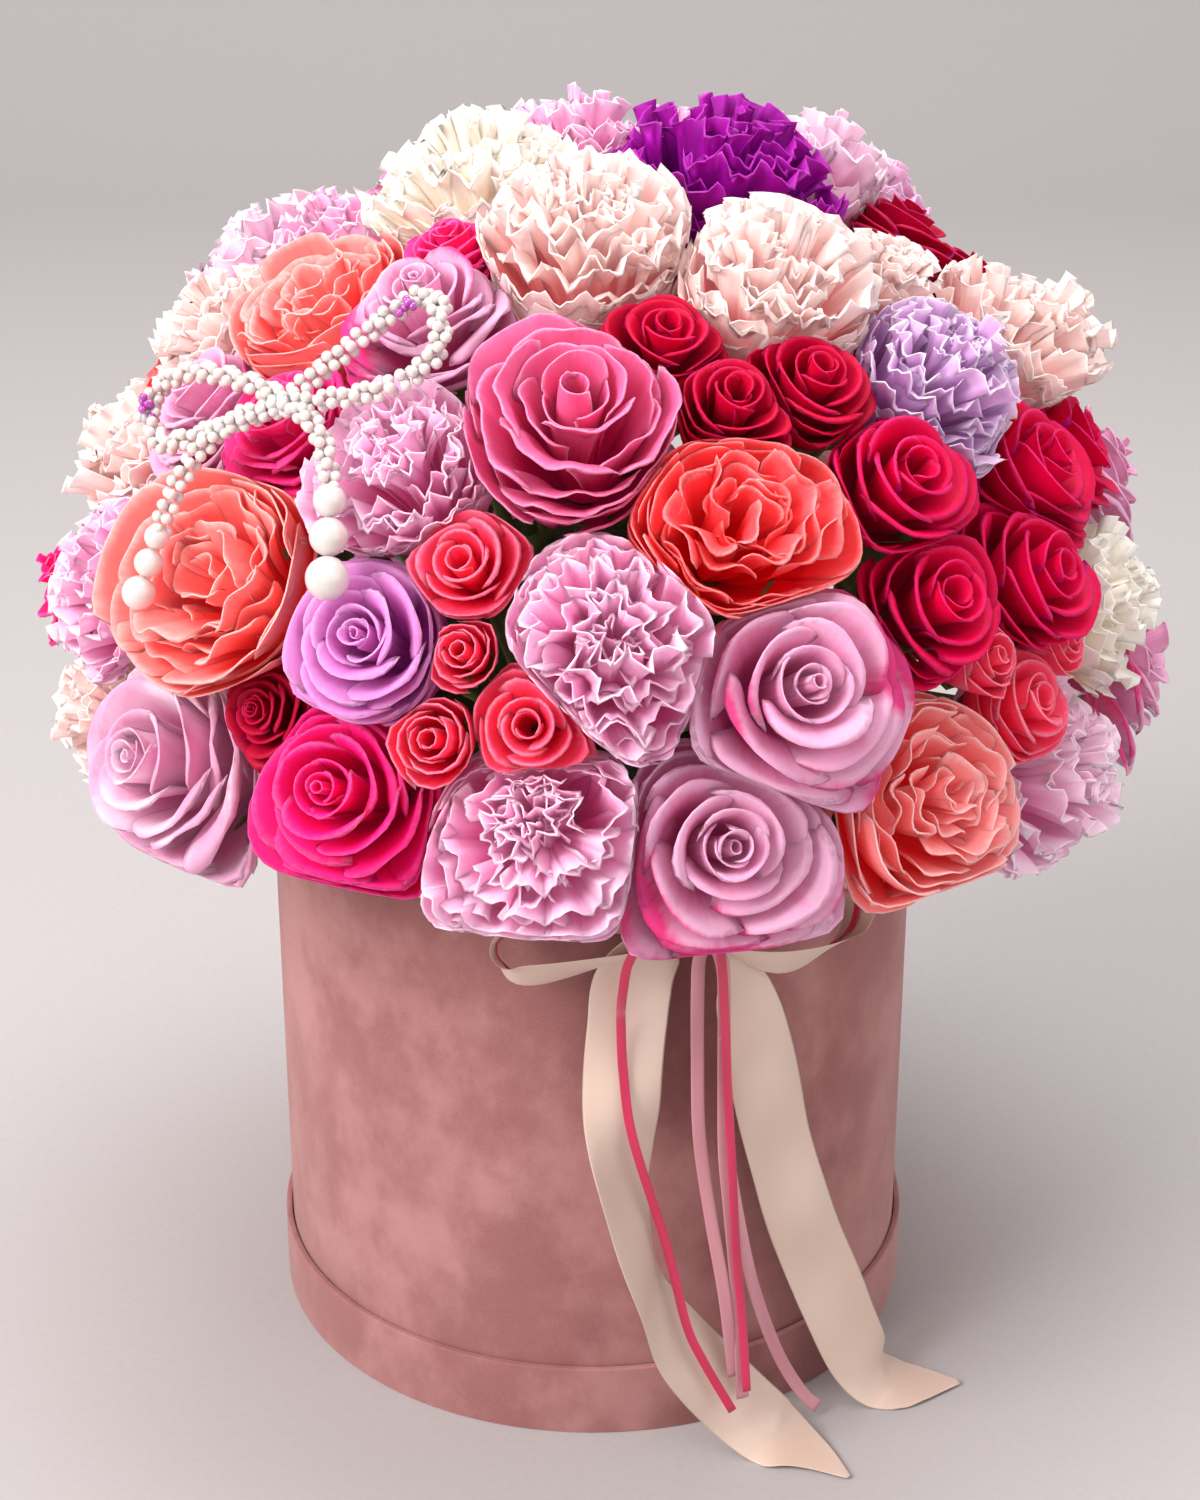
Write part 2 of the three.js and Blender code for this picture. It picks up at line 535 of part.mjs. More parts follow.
// The narrow ribbons are laid over the knot, and both of their ends hang free. A short pink
// ribbon leaves the long one and hangs down behind the magenta one.
const PINK = [
  [46.5, -120.5, 30], [43, -118.6, 60], [38, -116.5, 90], [34, -116.5, 120], [33, -117, 150],
  [32.5, -124, 178], [33, -126, 190], [36, -129, 197.5], [39.5, -129.5, 190], [40.5, -127.5, 178],
  [41, -121.8, 160], [41.5, -118.2, 140], [43, -117, 115], [47, -115, 88], [53, -111.8, 58],
  [61.5, -107.5, 30], [70, -104.5, 12], [76, -103, 4.2],
];
const PINK_SHORT = [
  [41, -122.2, 160], [41.4, -118.6, 140], [42, -117.5, 115], [43.8, -116.8, 95], [46, -116.2, 72],
  [48, -117.8, 48], [49.5, -121.6, 22],
];
const MAGENTA = [
  [46, -126.5, 20.5], [36.5, -125.8, 39], [30.5, -124, 53], [24, -119.2, 80],
  [13, -122.5, 122], [9.8, -120, 145], [9, -120.5, 163], [9, -128, 173],
  [9.5, -133.5, 182], [11, -135, 192], [16, -135.5, 201], [24, -135.5, 205], [33, -135.5, 205],
  [38, -135.5, 200], [39.5, -134.5, 190], [40.5, -130, 176], [41.5, -124.5, 160],
  [42.5, -121, 140], [44.5, -120, 110], [46.3, -118.4, 80], [49, -119.8, 50], [50.7, -123.4, 26],
];

// A narrow ribbon's flat side looks out from the box
function narrow(points, width) {
  const places = points.map((point) => vec(...point));
  return band(places.map((point, i) => {
    const along = places[Math.min(i + 1, places.length - 1)].clone().sub(places[Math.max(i - 1, 0)]);
    return [point.toArray(), along.cross(vec(point.x, point.y, 0)).toArray()];
  }), width, RIBBON_THICK);
}

const pinkSolid = narrow(PINK, PINK_WIDTH).solid().add(narrow(PINK_SHORT, PINK_WIDTH).solid());
place('pink_ribbon', geometryOf(pinkSolid), 'pinkRibbon', 0.4);
place('magenta_ribbon', geometryOf(narrow(MAGENTA, MAGENTA_WIDTH).solid()), 'magentaRibbon', 0.4);

// Pearl bow: two strands twisted together, so its section is a peanut that narrows between the pearls
const PEARL_ROUTES = [
  [[-87, -111, 362], [-71.5, -106.7, 374], [-57.3, -100.7, 384], [-49, -97.5, 388.5],
    [-42, -103, 387]],
  [[-44, -100.5, 387.5], [-42.6, -113, 380.4], [-46.6, -118.7, 374.8], [-59.3, -121, 368.3],
    [-87, -113, 361]],
  [[-87, -111, 362], [-98.4, -99.8, 363.5], [-115, -84, 361.8], [-126.6, -76.5, 356], [-133, -81, 346.5]],
  [[-131, -79, 349], [-126.6, -91.8, 343], [-113.3, -102.2, 348.6], [-87, -111.5, 361]],
  [[-87, -111, 361], [-102.4, -106.5, 354.6], [-113, -106.1, 345.3], [-120.5, -109.1, 334.2],
    [-124.9, -113.3, 323.5]],
  [[-87, -112, 361], [-82, -116, 360], [-75.7, -126.1, 355.3], [-72.9, -137.5, 344.5]],
];
const BIG_PEARLS = [
  { start: [-124.6, -113, 325], along: [-0.33, -0.25, -0.91], sizes: [7.5, 8.5, 10] },
  { start: [-72.9, -136.7, 346], along: [-0.02, -0.52, -0.85], sizes: [9.5, 11, 12.5] },
];
const TWIST_LENGTH = 26;
const PEARL_PINCH = 1.1;
const LOBE_ANGLES = [-55, 0, 55];
const PINCH_ANGLES = [-80, 80];

// A big pearl is cut to two rings of this share of its size, at these shares of its length
const BIG_RING = 0.46;
const BIG_CUTS = [0.27, 0.73];

function pearlStrand(route) {
  const curve = new THREE.CatmullRomCurve3(route.map((stop) => vec(...stop)), false, 'centripetal');
  const length = curve.getLength();
  const beads = Math.round(length / PEARL);
  const skin = new Skin().start(curve.getPointAt(0));
  for (let i = 0; i <= 2 * beads; i += 1) {
    const share = i / (2 * beads);
    const centre = curve.getPointAt(share);
    const along = curve.getTangentAt(share);
    const side = along.clone().cross(centre.clone().sub(AIM)).normalize();
    const out = side.clone().cross(along);
    const radius = i % 2 ? PEARL / 2 : PEARL_PINCH;
    const twist = (360 * share * length) / TWIST_LENGTH;
    const angles = i % 2 ? LOBE_ANGLES : PINCH_ANGLES;
    skin.ring([0, 180].flatMap((lobe) => angles.map((angle) => {
      const [middle, point] = [radians(twist + lobe), radians(twist + lobe + angle)];
      const x = (STRAND_GAP / 2) * Math.cos(middle) + radius * Math.cos(point);
      const y = (STRAND_GAP / 2) * Math.sin(middle) + radius * Math.sin(point);
      return centre.clone().addScaledVector(out, x).addScaledVector(side, y);
    })));
  }
  return skin.finish(curve.getPointAt(1));
}

function bigPearls({ start, along, sizes }) {
  const axis = vec(...along).normalize();
  let at = vec(...start);
  const skin = new Skin().start(at.clone());
  for (const size of sizes) {
    skin.ring(circle(at, axis, PEARL_PINCH));
    for (const share of BIG_CUTS) {
      skin.ring(circle(at.clone().addScaledVector(axis, share * size), axis, BIG_RING * size));
    }
    at = at.clone().addScaledVector(axis, size);
  }
  return skin.ring(circle(at, axis, PEARL_PINCH)).finish(at);
}

// The knot where the loops and tails cross, on the wire pick
function knotBead() {
  const at = (rise) => pearlKnot.clone().addScaledVector(pick.axis, rise * KNOT_BEAD);
  const ring = (rise) => {
    const wide = Math.sqrt(1 - rise ** 2) * KNOT_BEAD;
    return circle(at(rise), pick.axis, wide, KNOT_SIDES);
  };
  return new Skin().start(at(-1)).ring(ring(-0.5)).ring(ring(0.5)).finish(at(1));
}

place('pearl_bow', geometryOf(wasm.Manifold.union([
  ...PEARL_ROUTES.map(pearlStrand), ...BIG_PEARLS.map(bigPearls), knotBead(),
  tube([pick.end, pearlKnot], pick.axis, PICK_RADIUS, PICK_SIDES),
].map((skin) => skin.solid()))), 'pearl', 0.2);

export default group;
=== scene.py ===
# %% [markdown]
# A round velvet hat box that is packed with a dome of roses and carnations. Cream satin, two
# narrow ribbons and a bow of pearls dress it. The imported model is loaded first: it gives the
# shared frame, and every piece made here is laid over one of its nodes, in metres.

import math

import bpy
import numpy as np
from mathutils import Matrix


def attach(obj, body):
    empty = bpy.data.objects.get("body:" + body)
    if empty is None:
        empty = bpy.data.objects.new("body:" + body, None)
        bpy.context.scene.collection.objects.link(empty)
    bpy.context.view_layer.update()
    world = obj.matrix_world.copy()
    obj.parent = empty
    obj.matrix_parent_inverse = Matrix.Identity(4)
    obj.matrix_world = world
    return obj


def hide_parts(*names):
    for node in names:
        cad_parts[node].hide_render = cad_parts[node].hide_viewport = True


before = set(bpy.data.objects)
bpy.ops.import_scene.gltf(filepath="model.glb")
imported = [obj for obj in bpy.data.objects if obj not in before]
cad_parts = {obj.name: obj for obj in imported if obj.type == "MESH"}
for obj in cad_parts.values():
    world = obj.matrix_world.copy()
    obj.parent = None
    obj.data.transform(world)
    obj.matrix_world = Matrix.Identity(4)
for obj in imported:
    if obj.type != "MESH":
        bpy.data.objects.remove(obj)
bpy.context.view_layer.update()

# %% [markdown]
# The photograph looks down on the box from straight in front. A long lens stands about a metre
# away, so the box narrows only a little towards its foot. The image is 1200 by 1500 pixels, and
# the sensor's 36 mm lie along its long side.

# %% Camera
IMAGE_HIGH, FOCAL_PIXELS, SENSOR = 1500, 3000, 36
LOOK_DOWN = 24.811
LOOK_AT = (0.00251, 0.0, 0.20086)
LOOK_FROM = 1.0233

lens_data = bpy.data.cameras.new("camera")
lens_data.sensor_width = SENSOR
lens_data.lens = SENSOR * FOCAL_PIXELS / IMAGE_HIGH
camera = bpy.data.objects.new("camera", lens_data)
bpy.context.scene.collection.objects.link(camera)
down = math.radians(LOOK_DOWN)
camera.location = (
    LOOK_AT[0],
    LOOK_AT[1] - LOOK_FROM * math.cos(down),
    LOOK_AT[2] + LOOK_FROM * math.sin(down),
)
camera.rotation_euler = (math.pi / 2 - down, 0, 0)
bpy.context.scene.camera = camera
bpy.context.scene.view_settings.view_transform = "Standard"
print("camera at", [round(x, 4) for x in camera.location])

# %% [markdown]
# Every surface here is a grid of points in millimetres. It could be built point by point, but
# numpy works it out as one array, from one formula, and in no time. Helpers join rings of points
# into a closed body and put bodies together.

# %% Closed bodies
def outward(points, faces):
    """Turns the faces round if the volume that they enclose comes out negative. Six times that
    volume is the sum, over the faces' triangles, of each corner times the other two's cross."""
    total = 0.0
    for corners in faces:
        for k in range(2, corners.shape[1]):
            a, b, c = (points[corners[:, j]] for j in (0, k - 1, k))
            total += np.einsum("ij,ij->i", a, np.cross(b, c)).sum()
    return faces if total > 0 else [corners[:, ::-1] for corners in faces]


def loft(rings):
    """Joins rings of points, in a row, into a closed body: each end closes on its own middle."""
    count, sides = rings.shape[:2]
    points = np.concatenate([rings.reshape(-1, 3), rings[:1].mean(1), rings[-1:].mean(1)])
    here = np.arange(sides)
    after = (here + 1) % sides
    low = (np.arange(count - 1) * sides)[:, None]
    quads = np.stack([low + here, low + after, low + after + sides, low + here + sides], -1)
    start, end = count * sides, count * sides + 1
    top = (count - 1) * sides
    fans = np.concatenate([
        np.stack([np.full(sides, start), after, here], -1),
        np.stack([np.full(sides, end), top + here, top + after], -1),
    ])
    return points, outward(points, [quads.reshape(-1, 4), fans])


def join(parts):
    """Puts several bodies' points, faces and grain one after the other, as one set."""
    points, faces, *grain = zip(*parts)
    shifts = np.cumsum([0] + [len(own) for own in points[:-1]])
    moved = [
        np.concatenate([own + shift for own, shift in zip(kind, shifts)]) for kind in zip(*faces)
    ]
    return np.concatenate(points), moved, *map(np.concatenate, grain)


def unit(vectors):
    """Each vector divided by its own length."""
    return vectors / np.maximum(np.linalg.norm(vectors, axis=-1, keepdims=True), 1e-9)


def circle(count):
    """The cosines and the sines of that many equal turns."""
    angle = 2 * np.pi * np.arange(count) / count
    return np.cos(angle), np.sin(angle)


# %% [markdown]
# A piece is a mesh object made of such arrays. It rides on the root and hides the nodes that it
# stands for. A finish may need to know where on the piece a point lies, as across a ribbon or
# along a petal, so those measures go into the mesh with the points.

# %% Pieces
MM = 0.001


def piece(name, points, faces, material, slot, stands_for=(), grain=None):
    """Makes a mesh object of arrays of points, in millimetres, and of faces. grain holds three
    numbers for each point that the material can read, and perhaps a fourth, called outer."""
    mesh = bpy.data.meshes.new(name)
    sizes = np.concatenate([np.full(len(corners), corners.shape[1]) for corners in faces])
    loops = np.concatenate([corners.ravel() for corners in faces])
    mesh.vertices.add(len(points))
    mesh.vertices.foreach_set("co", (points * MM).astype(np.float32).ravel())
    mesh.loops.add(len(loops))
    mesh.loops.foreach_set("vertex_index", loops.astype(np.int32))
    mesh.polygons.add(len(sizes))
    starts = np.cumsum(sizes) - sizes
    mesh.polygons.foreach_set("loop_start", starts.astype(np.int32))
    mesh.polygons.foreach_set("use_smooth", np.ones(len(sizes), dtype=bool))
    if grain is not None:
        measures = grain.astype(np.float32)
        attribute = mesh.attributes.new("grain", "FLOAT_VECTOR", "POINT")
        attribute.data.foreach_set("vector", measures[:, :3].ravel())
        if grain.shape[1] > 3:
            attribute = mesh.attributes.new("outer", "FLOAT", "POINT")
            attribute.data.foreach_set("value", measures[:, 3])
    mesh.update(calc_edges=True)
    mesh.materials.append(material)
    made = bpy.data.objects.new(name, mesh)
    bpy.context.scene.collection.objects.link(made)
    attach(made, "root")
    if stands_for:
        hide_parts(*stands_for)
    print(f"{name}: {len(points)} points, {int((sizes - 2).sum())} triangles")
    return made


# %% [markdown]
# A finish is a small program that runs at each point of a surface. Shader maths reads best as
# ordinary arithmetic, so a wrapped socket adds a Math node whenever it is added, subtracted or
# multiplied.

# %% Shader numbers
class Number:
    """A number that varies over a surface. Arithmetic on it adds Math nodes to its shader."""

    def __init__(self, shader, socket):
        self.shader = shader
        self.socket = socket

    def math(self, operation, *values):
        return self.shader.node("ShaderNodeMath", {"operation": operation}, dict(enumerate(values)))

    def __add__(self, other):
        return self.math("ADD", self, other)

    def __sub__(self, other):
        return self.math("SUBTRACT", self, other)

    def __rsub__(self, other):
        return self.math("SUBTRACT", other, self)

    def __mul__(self, other):
        return self.math("MULTIPLY", self, other)

    __radd__ = __add__
    __rmul__ = __mul__

    def above(self, low, high):
        """0 below low and 1 above high, with a smooth rise between them."""
        return self.shader.node(
            "ShaderNodeMapRange",
            {"interpolation_type": "SMOOTHSTEP"},
            {"Value": self, "From Min": low, "From Max": high},
        )


# %% [markdown]
# One class holds a material. One of its methods makes every kind of node, and the others are
# short names for what several finishes need. Colours are given as a screen shows them, which is
# how one sees them in a photograph, and are turned into the light that a shader reckons with.

# %% Finish
def colour(red, green, blue):
    """A colour as a screen shows it, from 0 to 255, as the light that a shader reckons with."""
    shown = np.array([red, green, blue]) / 255
    light = np.where(shown <= 0.04045, shown / 12.92, ((shown + 0.055) / 1.055) ** 2.4)
    return (*light.tolist(), 1.0)


class Finish:
    """One material: its Principled shader, and the nodes that feed it."""

    def __init__(self, name, **constants):
        self.material = bpy.data.materials.new(name)
        self.material.use_nodes = True
        self.tree = self.material.node_tree
        self.shader = self.tree.nodes["Principled BSDF"]
        for socket, value in constants.items():
            self.shader.inputs[socket.replace("_", " ")].default_value = value

    def node(self, kind, settings=(), inputs=(), output=0):
        """Adds a node: its settings come first, then the values or links of its sockets."""
        made = self.tree.nodes.new(kind)
        for name, value in dict(settings).items():
            setattr(made, name, value)
        for name, value in dict(inputs).items():
            self.feed(made.inputs[name], value)
        return Number(self, made.outputs[output])

    def feed(self, socket, value):
        if isinstance(value, Number):
            self.tree.links.new(value.socket, socket)
        else:
            socket.default_value = value

    def out(self, socket, value):
        """Leads a value into one of the Principled shader's sockets."""
        self.feed(self.shader.inputs[socket], value)

    def place(self):
        """The point's own coordinates on the object, in metres."""
        return self.node("ShaderNodeTexCoord", output="Object")

    def grain(self):
        """The piece's own measures of where a point lies on it, as one vector."""
        return self.node("ShaderNodeAttribute", {"attribute_name": "grain"}, output="Vector")

    def outer(self):
        """How far out on its bloom a petal stands: 1 in the first ring, and less inside it."""
        return self.node("ShaderNodeAttribute", {"attribute_name": "outer"}, output="Fac")

    def parts(self, vector):
        """A vector's three numbers."""
        first = self.node("ShaderNodeSeparateXYZ", {}, {"Vector": vector})
        return [Number(self, socket) for socket in first.socket.node.outputs]

    def noise(self, vector, scale, detail, roughness=0.5):
        """A soft random pattern from 0 to 1."""
        return self.node(
            "ShaderNodeTexNoise",
            {},
            {"Vector": vector, "Scale": scale, "Detail": detail, "Roughness": roughness},
        )

    def stretch(self, vector, scale):
        """Coordinates stretched by a factor along each axis."""
        return self.node("ShaderNodeMapping", {}, {"Vector": vector, "Scale": scale})

    def mix(self, share, low, high):
        """Goes from one colour to another by a share."""
        return self.node(
            "ShaderNodeMix", {"data_type": "RGBA"}, {"Factor": share, 6: low, 7: high}, output=2
        )

    def between(self, share, low, high):
        """Gives the surface a colour between two that are named as a screen shows them."""
        self.out("Base Color", self.mix(share, colour(*low), colour(*high)))

    def bump(self, height, distance, strength):
        """Turns a height from 0 to 1 into a raised surface of that depth in metres."""
        self.out("Normal", self.node(
            "ShaderNodeBump", {}, {"Height": height, "Distance": distance, "Strength": strength}
        ))


# %% [markdown]
# Satin shines because its threads float over each other for a long way in one direction. The
# ribbon gets a low roughness that varies with faint waves, and lines of thread too fine to see
# one by one, as bump along its length. The narrow ribbons are the same cloth, dyed.

# %% Ribbon finishes
# How many steps of a pattern there are across the ribbon, and along each millimetre of it
SOFT_WAVES, THREADS = (0.5, 0.025, 1), (40, 0.6, 1)
THREAD_DEPTH = 0.00006


def ribbon_finish(name, tint, shade, roughness):
    """Satin cloth. The grain holds the place across the ribbon and the place along it in
    millimetres."""
    finish = Finish(name, Sheen_Weight=0.25, Sheen_Roughness=0.4, Specular_IOR_Level=0.8)
    grain = finish.grain()
    cloud = finish.noise(finish.stretch(grain, SOFT_WAVES), 1.0, 0.0)
    threads = finish.noise(finish.stretch(grain, THREADS), 1.0, 2.0)
    finish.between(cloud.above(0.25, 0.75), shade, tint)
    finish.out("Roughness", cloud * 0.10 + (roughness - 0.05))
    finish.bump(threads, THREAD_DEPTH, 0.5)
    return finish.material


SATIN = ribbon_finish("cream satin", (224, 199, 184), (212, 184, 168), 0.30)
PINK_CLOTH = ribbon_finish("pink ribbon", (212, 146, 156), (198, 128, 140), 0.34)
MAGENTA_CLOTH = ribbon_finish("magenta ribbon", (212, 14, 84), (190, 6, 68), 0.34)
print("ribbon finishes ready")

# %% [markdown]
# A ribbon is a flat band that is carried along a route. The route is a few stops with a smooth
# curve run through them, because a bought ribbon bends in one long sweep and never at a point.

# %% Bands
def smooth(stops, step):
    """A curve through the stops. Between two stops it is the cubic whose slope at each stop is
    half the way from the stop before to the stop after. step is the spacing of its points."""
    stops = np.asarray(stops, dtype=float)
    before = np.concatenate([2 * stops[:1] - stops[1:2], stops[:-1]])
    after = np.concatenate([stops[1:], 2 * stops[-1:] - stops[-2:-1]])
    slope = (after - before) / 2
    apart = np.linalg.norm(np.diff(stops[:, :3], axis=0), axis=1)
    spans = np.concatenate([[0], np.cumsum(apart)])
    marks = np.linspace(0, spans[-1], int(spans[-1] / step) + 1)
    k = np.clip(np.searchsorted(spans, marks, side="right") - 1, 0, len(stops) - 2)
    t = ((marks - spans[k]) / apart[k])[:, None]
    return (
        (2 * t**3 - 3 * t**2 + 1) * stops[k]
        + (t**3 - 2 * t**2 + t) * slope[k]
        + (3 * t**2 - 2 * t**3) * stops[k + 1]
        + (t**3 - t**2) * slope[k + 1]
    )


def length_of(route):
    return float(np.linalg.norm(np.diff(route[:, :3], axis=0), axis=1).sum())


RIBBON_SECTION, SECTION_EDGE = 16, 0.7
WAVE_LENGTH, WANDER_LENGTH, WANDER = 62, 23, 0.3
OVER_TABLE = 0.1


def band(route, width, thick, wave=0.0):
    """A flat closed band. The route's columns are its middle, the direction of its width and the
    share of the width it has there. The section is a flat oval, and a gentle wave runs along it:
    each point stands off the route by wave times a cosine along and a cosine across, whose crest
    wanders from side to side. A section that would dip under the table is lifted to lie on it."""
    middle, across, share = route[:, :3], route[:, 3:6], route[:, 6]
    along = unit(np.gradient(middle, axis=0))
    across = unit(across - (across * along).sum(1, keepdims=True) * along)
    off = np.cross(along, across)
    side, face = circle(RIBBON_SECTION)
    side = np.sign(side) * np.abs(side) ** SECTION_EDGE
    run = np.concatenate([[0], np.cumsum(np.linalg.norm(np.diff(middle, axis=0), axis=1))])
    swell = (wave * np.cos(2 * np.pi * run / WAVE_LENGTH))[:, None]
    crest = WANDER * np.sin(run / WANDER_LENGTH)[:, None]
    lift = swell * np.cos(side * np.pi / 2 + crest)
    rings = (
        middle[:, None]
        + across[:, None] * (share[:, None] * width / 2 * side[None])[..., None]
        + off[:, None] * (thick / 2 * face[None] + lift)[..., None]
    )
    rings[..., 2] += np.clip(OVER_TABLE - rings[..., 2].min(1), 0, None)[:, None]
    points, faces = loft(rings)
    grain = np.zeros((len(points), 3))
    grain[: rings[..., 0].size, 0] = np.tile(side, len(middle))
    grain[: rings[..., 0].size, 1] = np.repeat(run, RIBBON_SECTION)
    grain[-1, 1] = run[-1]
    return points, faces, grain


# %% [markdown]
# The two narrow ribbons hang free in three strands. Each strand is one length, and both ends
# are bare. Their stops are the imported model's own, point by point.

# %% Narrow ribbons
def facing_out(points):
    """Gives each stop of a narrow ribbon its width direction, so that its flat side looks away
    from the box's axis, and its full width."""
    points = np.asarray(points, dtype=float)
    along = np.gradient(points, axis=0)
    out = points * (1, 1, 0)
    return np.concatenate([points, unit(np.cross(along, out)), np.ones((len(points), 1))], 1)


PINK_WIDTH, MAGENTA_WIDTH, NARROW_THICK, ROUTE_STEP = 4.4, 3, 0.5, 2.0
PINK_ROUTE = [
    (46.5, -120.5, 30), (43, -118.6, 60), (38, -116.5, 90), (34, -116.5, 120), (33, -117, 150),
    (32.5, -124, 178), (33, -126, 190), (36, -129, 197.5), (39.5, -129.5, 190), (40.5, -127.5, 178),
    (41, -121.8, 160), (41.5, -118.2, 140), (43, -117, 115), (47, -115, 88), (53, -111.8, 58),
    (61.5, -107.5, 30), (70, -104.5, 12), (76, -103, 4.2),
]
PINK_SHORT_ROUTE = [
    (41, -122.2, 160), (41.4, -118.6, 140), (42, -117.5, 115), (43.8, -116.8, 95), (46, -116.2, 72),
    (48, -117.8, 48), (49.5, -121.6, 22),
]
MAGENTA_ROUTE = [
    (46, -126.5, 20.5), (36.5, -125.8, 39), (30.5, -124, 53), (24, -119.2, 80),
    (13, -122.5, 122), (9.8, -120, 145), (9, -120.5, 163), (9, -128, 173),
    (9.5, -133.5, 182), (11, -135, 192), (16, -135.5, 201), (24, -135.5, 205), (33, -135.5, 205),
    (38, -135.5, 200), (39.5, -134.5, 190), (40.5, -130, 176), (41.5, -124.5, 160),
    (42.5, -121, 140), (44.5, -120, 110), (46.3, -118.4, 80), (49, -119.8, 50), (50.7, -123.4, 26),
]


def narrow_ribbon(name, stops, width, material, slot):
    """A free ribbon with two bare ends, measured along its middle."""
    route = smooth(facing_out(stops), ROUTE_STEP)
    points, faces, grain = band(route, width, NARROW_THICK)
    made = piece(name + "_cloth", points, faces, material, slot, [slot], grain)
    middle = route[:, :3] * MM


PINK = (PINK_WIDTH, PINK_CLOTH, "pink_ribbon")
narrow_ribbon("pink_ribbon", PINK_ROUTE, *PINK)
narrow_ribbon("pink_ribbon_short", PINK_SHORT_ROUTE, *PINK)
narrow_ribbon("magenta_ribbon", MAGENTA_ROUTE, MAGENTA_WIDTH, MAGENTA_CLOTH, "magenta_ribbon")

# %% [markdown]
# The wide satin is one bow: two long tails, two loops, a loose end behind and the knot that
# holds them. Each is a strip of the same 25 mm ribbon, gathered narrower where it enters the knot,
# so each stop of a route also gives the way its width lies and the share of the width it has.

# %% Satin routes
SATIN_ROUTES = {
    "satin_tail_left": [
        (28, -117, 193, 1, 0.1, 0, 0.4), (20, -117, 188, 1, 0.1, 0.3, 0.8),
        (13, -116, 176, 1, 0.1, 0.1, 1), (11, -116, 160, 1, 0.1, 0, 1),
        (9.5, -117, 140, 1, 0, 0, 1), (9.5, -119.5, 118, 0.8, 0.5, 0, 1),
        (12, -123, 94, 0.5, 0.85, 0, 1),
        (18, -125, 68, 0.28, 0.96, 0, 1), (29, -123, 44, 0.6, 0.75, 0.2, 1),
        (46, -119, 20, 0.85, 0.45, 0.25, 1), (57, -118, 8, 0.85, 0.5, 0.1, 1),
        (65, -120, 3.2, 0.8, 0.6, 0, 1), (74, -126, 1.6, 0.7, 0.7, 0, 0.6),
        (84, -136, 1.2, 0.6, 0.8, 0, 0.08),
    ],
    "satin_tail_right": [
        (32, -117, 193, 0.3, 1, 0, 0.35), (42, -116.5, 186, 0.5, 0.8, 0, 0.5),
        (47, -114, 170, 0.8, 0.5, 0.2, 0.8), (53, -109, 145, 0.85, 0.5, 0.2, 1),
        (60, -104.8, 110, 0.85, 0.55, 0.2, 1), (69, -99.6, 76, 0.85, 0.55, 0.2, 1),
        (80, -93.6, 44, 0.85, 0.5, 0.2, 1), (89, -90.5, 20, 0.8, 0.6, 0.15, 1),
        (97, -88, 6.5, 0.6, 0.8, 0, 1), (105, -86.5, 2.6, 0.4, 0.9, 0, 1),
        (114, -85.5, 1.5, 0.3, 0.95, 0, 0.7), (126, -85, 1.2, 0.2, 0.97, 0, 0.08),
    ],
    "satin_loop_left": [
        (29, -117, 197, 0, -0.9, 0.3, 0.4), (11, -124, 203, 0, -0.7, 0.7, 0.6),
        (-12, -127, 203, 0, -0.6, 0.8, 0.6), (-28, -127, 197, 0, -0.8, 0.5, 0.6),
        (-28, -127, 188, 0, -0.8, 0.5, 0.6), (-16, -127, 184, 0, -0.6, 0.8, 0.6),
        (29, -117, 190, 0, -0.9, 0.3, 0.4),
    ],
    "satin_loop_right": [
        (31, -117, 197, 0.3, -0.9, 0.3, 0.4), (50, -120, 202, 0.3, -0.6, 0.7, 0.6),
        (68, -111, 203, 0.4, -0.5, 0.8, 0.6), (82, -101, 199, 0.5, -0.6, 0.5, 0.6),
        (80, -104, 186, 0.5, -0.6, 0.5, 0.6), (60, -115.5, 182, 0.3, -0.5, 0.8, 0.6),
        (31, -117, 190, 0.2, -0.9, 0.3, 0.4),
    ],
    "satin_end_behind": [
        (29, -115, 195, 0, 0, 1, 0.4), (-10, -113.5, 199, 0, 0, 1, 0.5),
        (-40, -107, 201, 0, 0, 1, 0.5), (-60, -97.5, 203, 0, 0, 1, 0.4),
    ],
}
print(len(SATIN_ROUTES), "strips of satin")

# %% [markdown]
# Each strip is a sheet of cloth, and how long it was cut is printed. A gentle wave runs down
# the tails, and is gone where they lie on the table. A strand of the magenta ribbon lies along
# the inside of each loop.

# %% Satin bow
SATIN_WIDTH, SATIN_THICK, SATIN_STEP = 25, 0.5, 1.5
# A tail's wave in millimetres, and how high over the table it begins and is full
FOLD, FOLD_FROM, FOLD_OVER = 1.8, 22, 30
STRIPE_OFF, STRIPE_ENDS = 0.8, 8
LEAST_SHOWN = 0.35
KNOT_EAST, KNOT_HEIGHT, KNOT_DEPTH = 15.3, 193, 14
BOX_RADIUS = 109
KNOT_STEPS = [(BOX_RADIUS + 0.3, 0.5), (112, 0.66), (117.5, 0.66), (120.5, 0.4)]


def stripe_inside(name, route):
    """A strand of the magenta ribbon laid along the middle of a loop's inner face."""
    route = route[STRIPE_ENDS:-STRIPE_ENDS].copy()
    off = unit(np.cross(np.gradient(route[:, :3], axis=0), route[:, 3:6]))
    inward = (off * (route[:, :3].mean(0) - route[:, :3])).sum()
    route[:, :3] += STRIPE_OFF * math.copysign(1, inward) * off
    route[:, 6] = 1
    points, faces, grain = band(route, MAGENTA_WIDTH, NARROW_THICK)
    return piece(name, points, faces, MAGENTA_CLOTH, "magenta_ribbon", grain=grain)


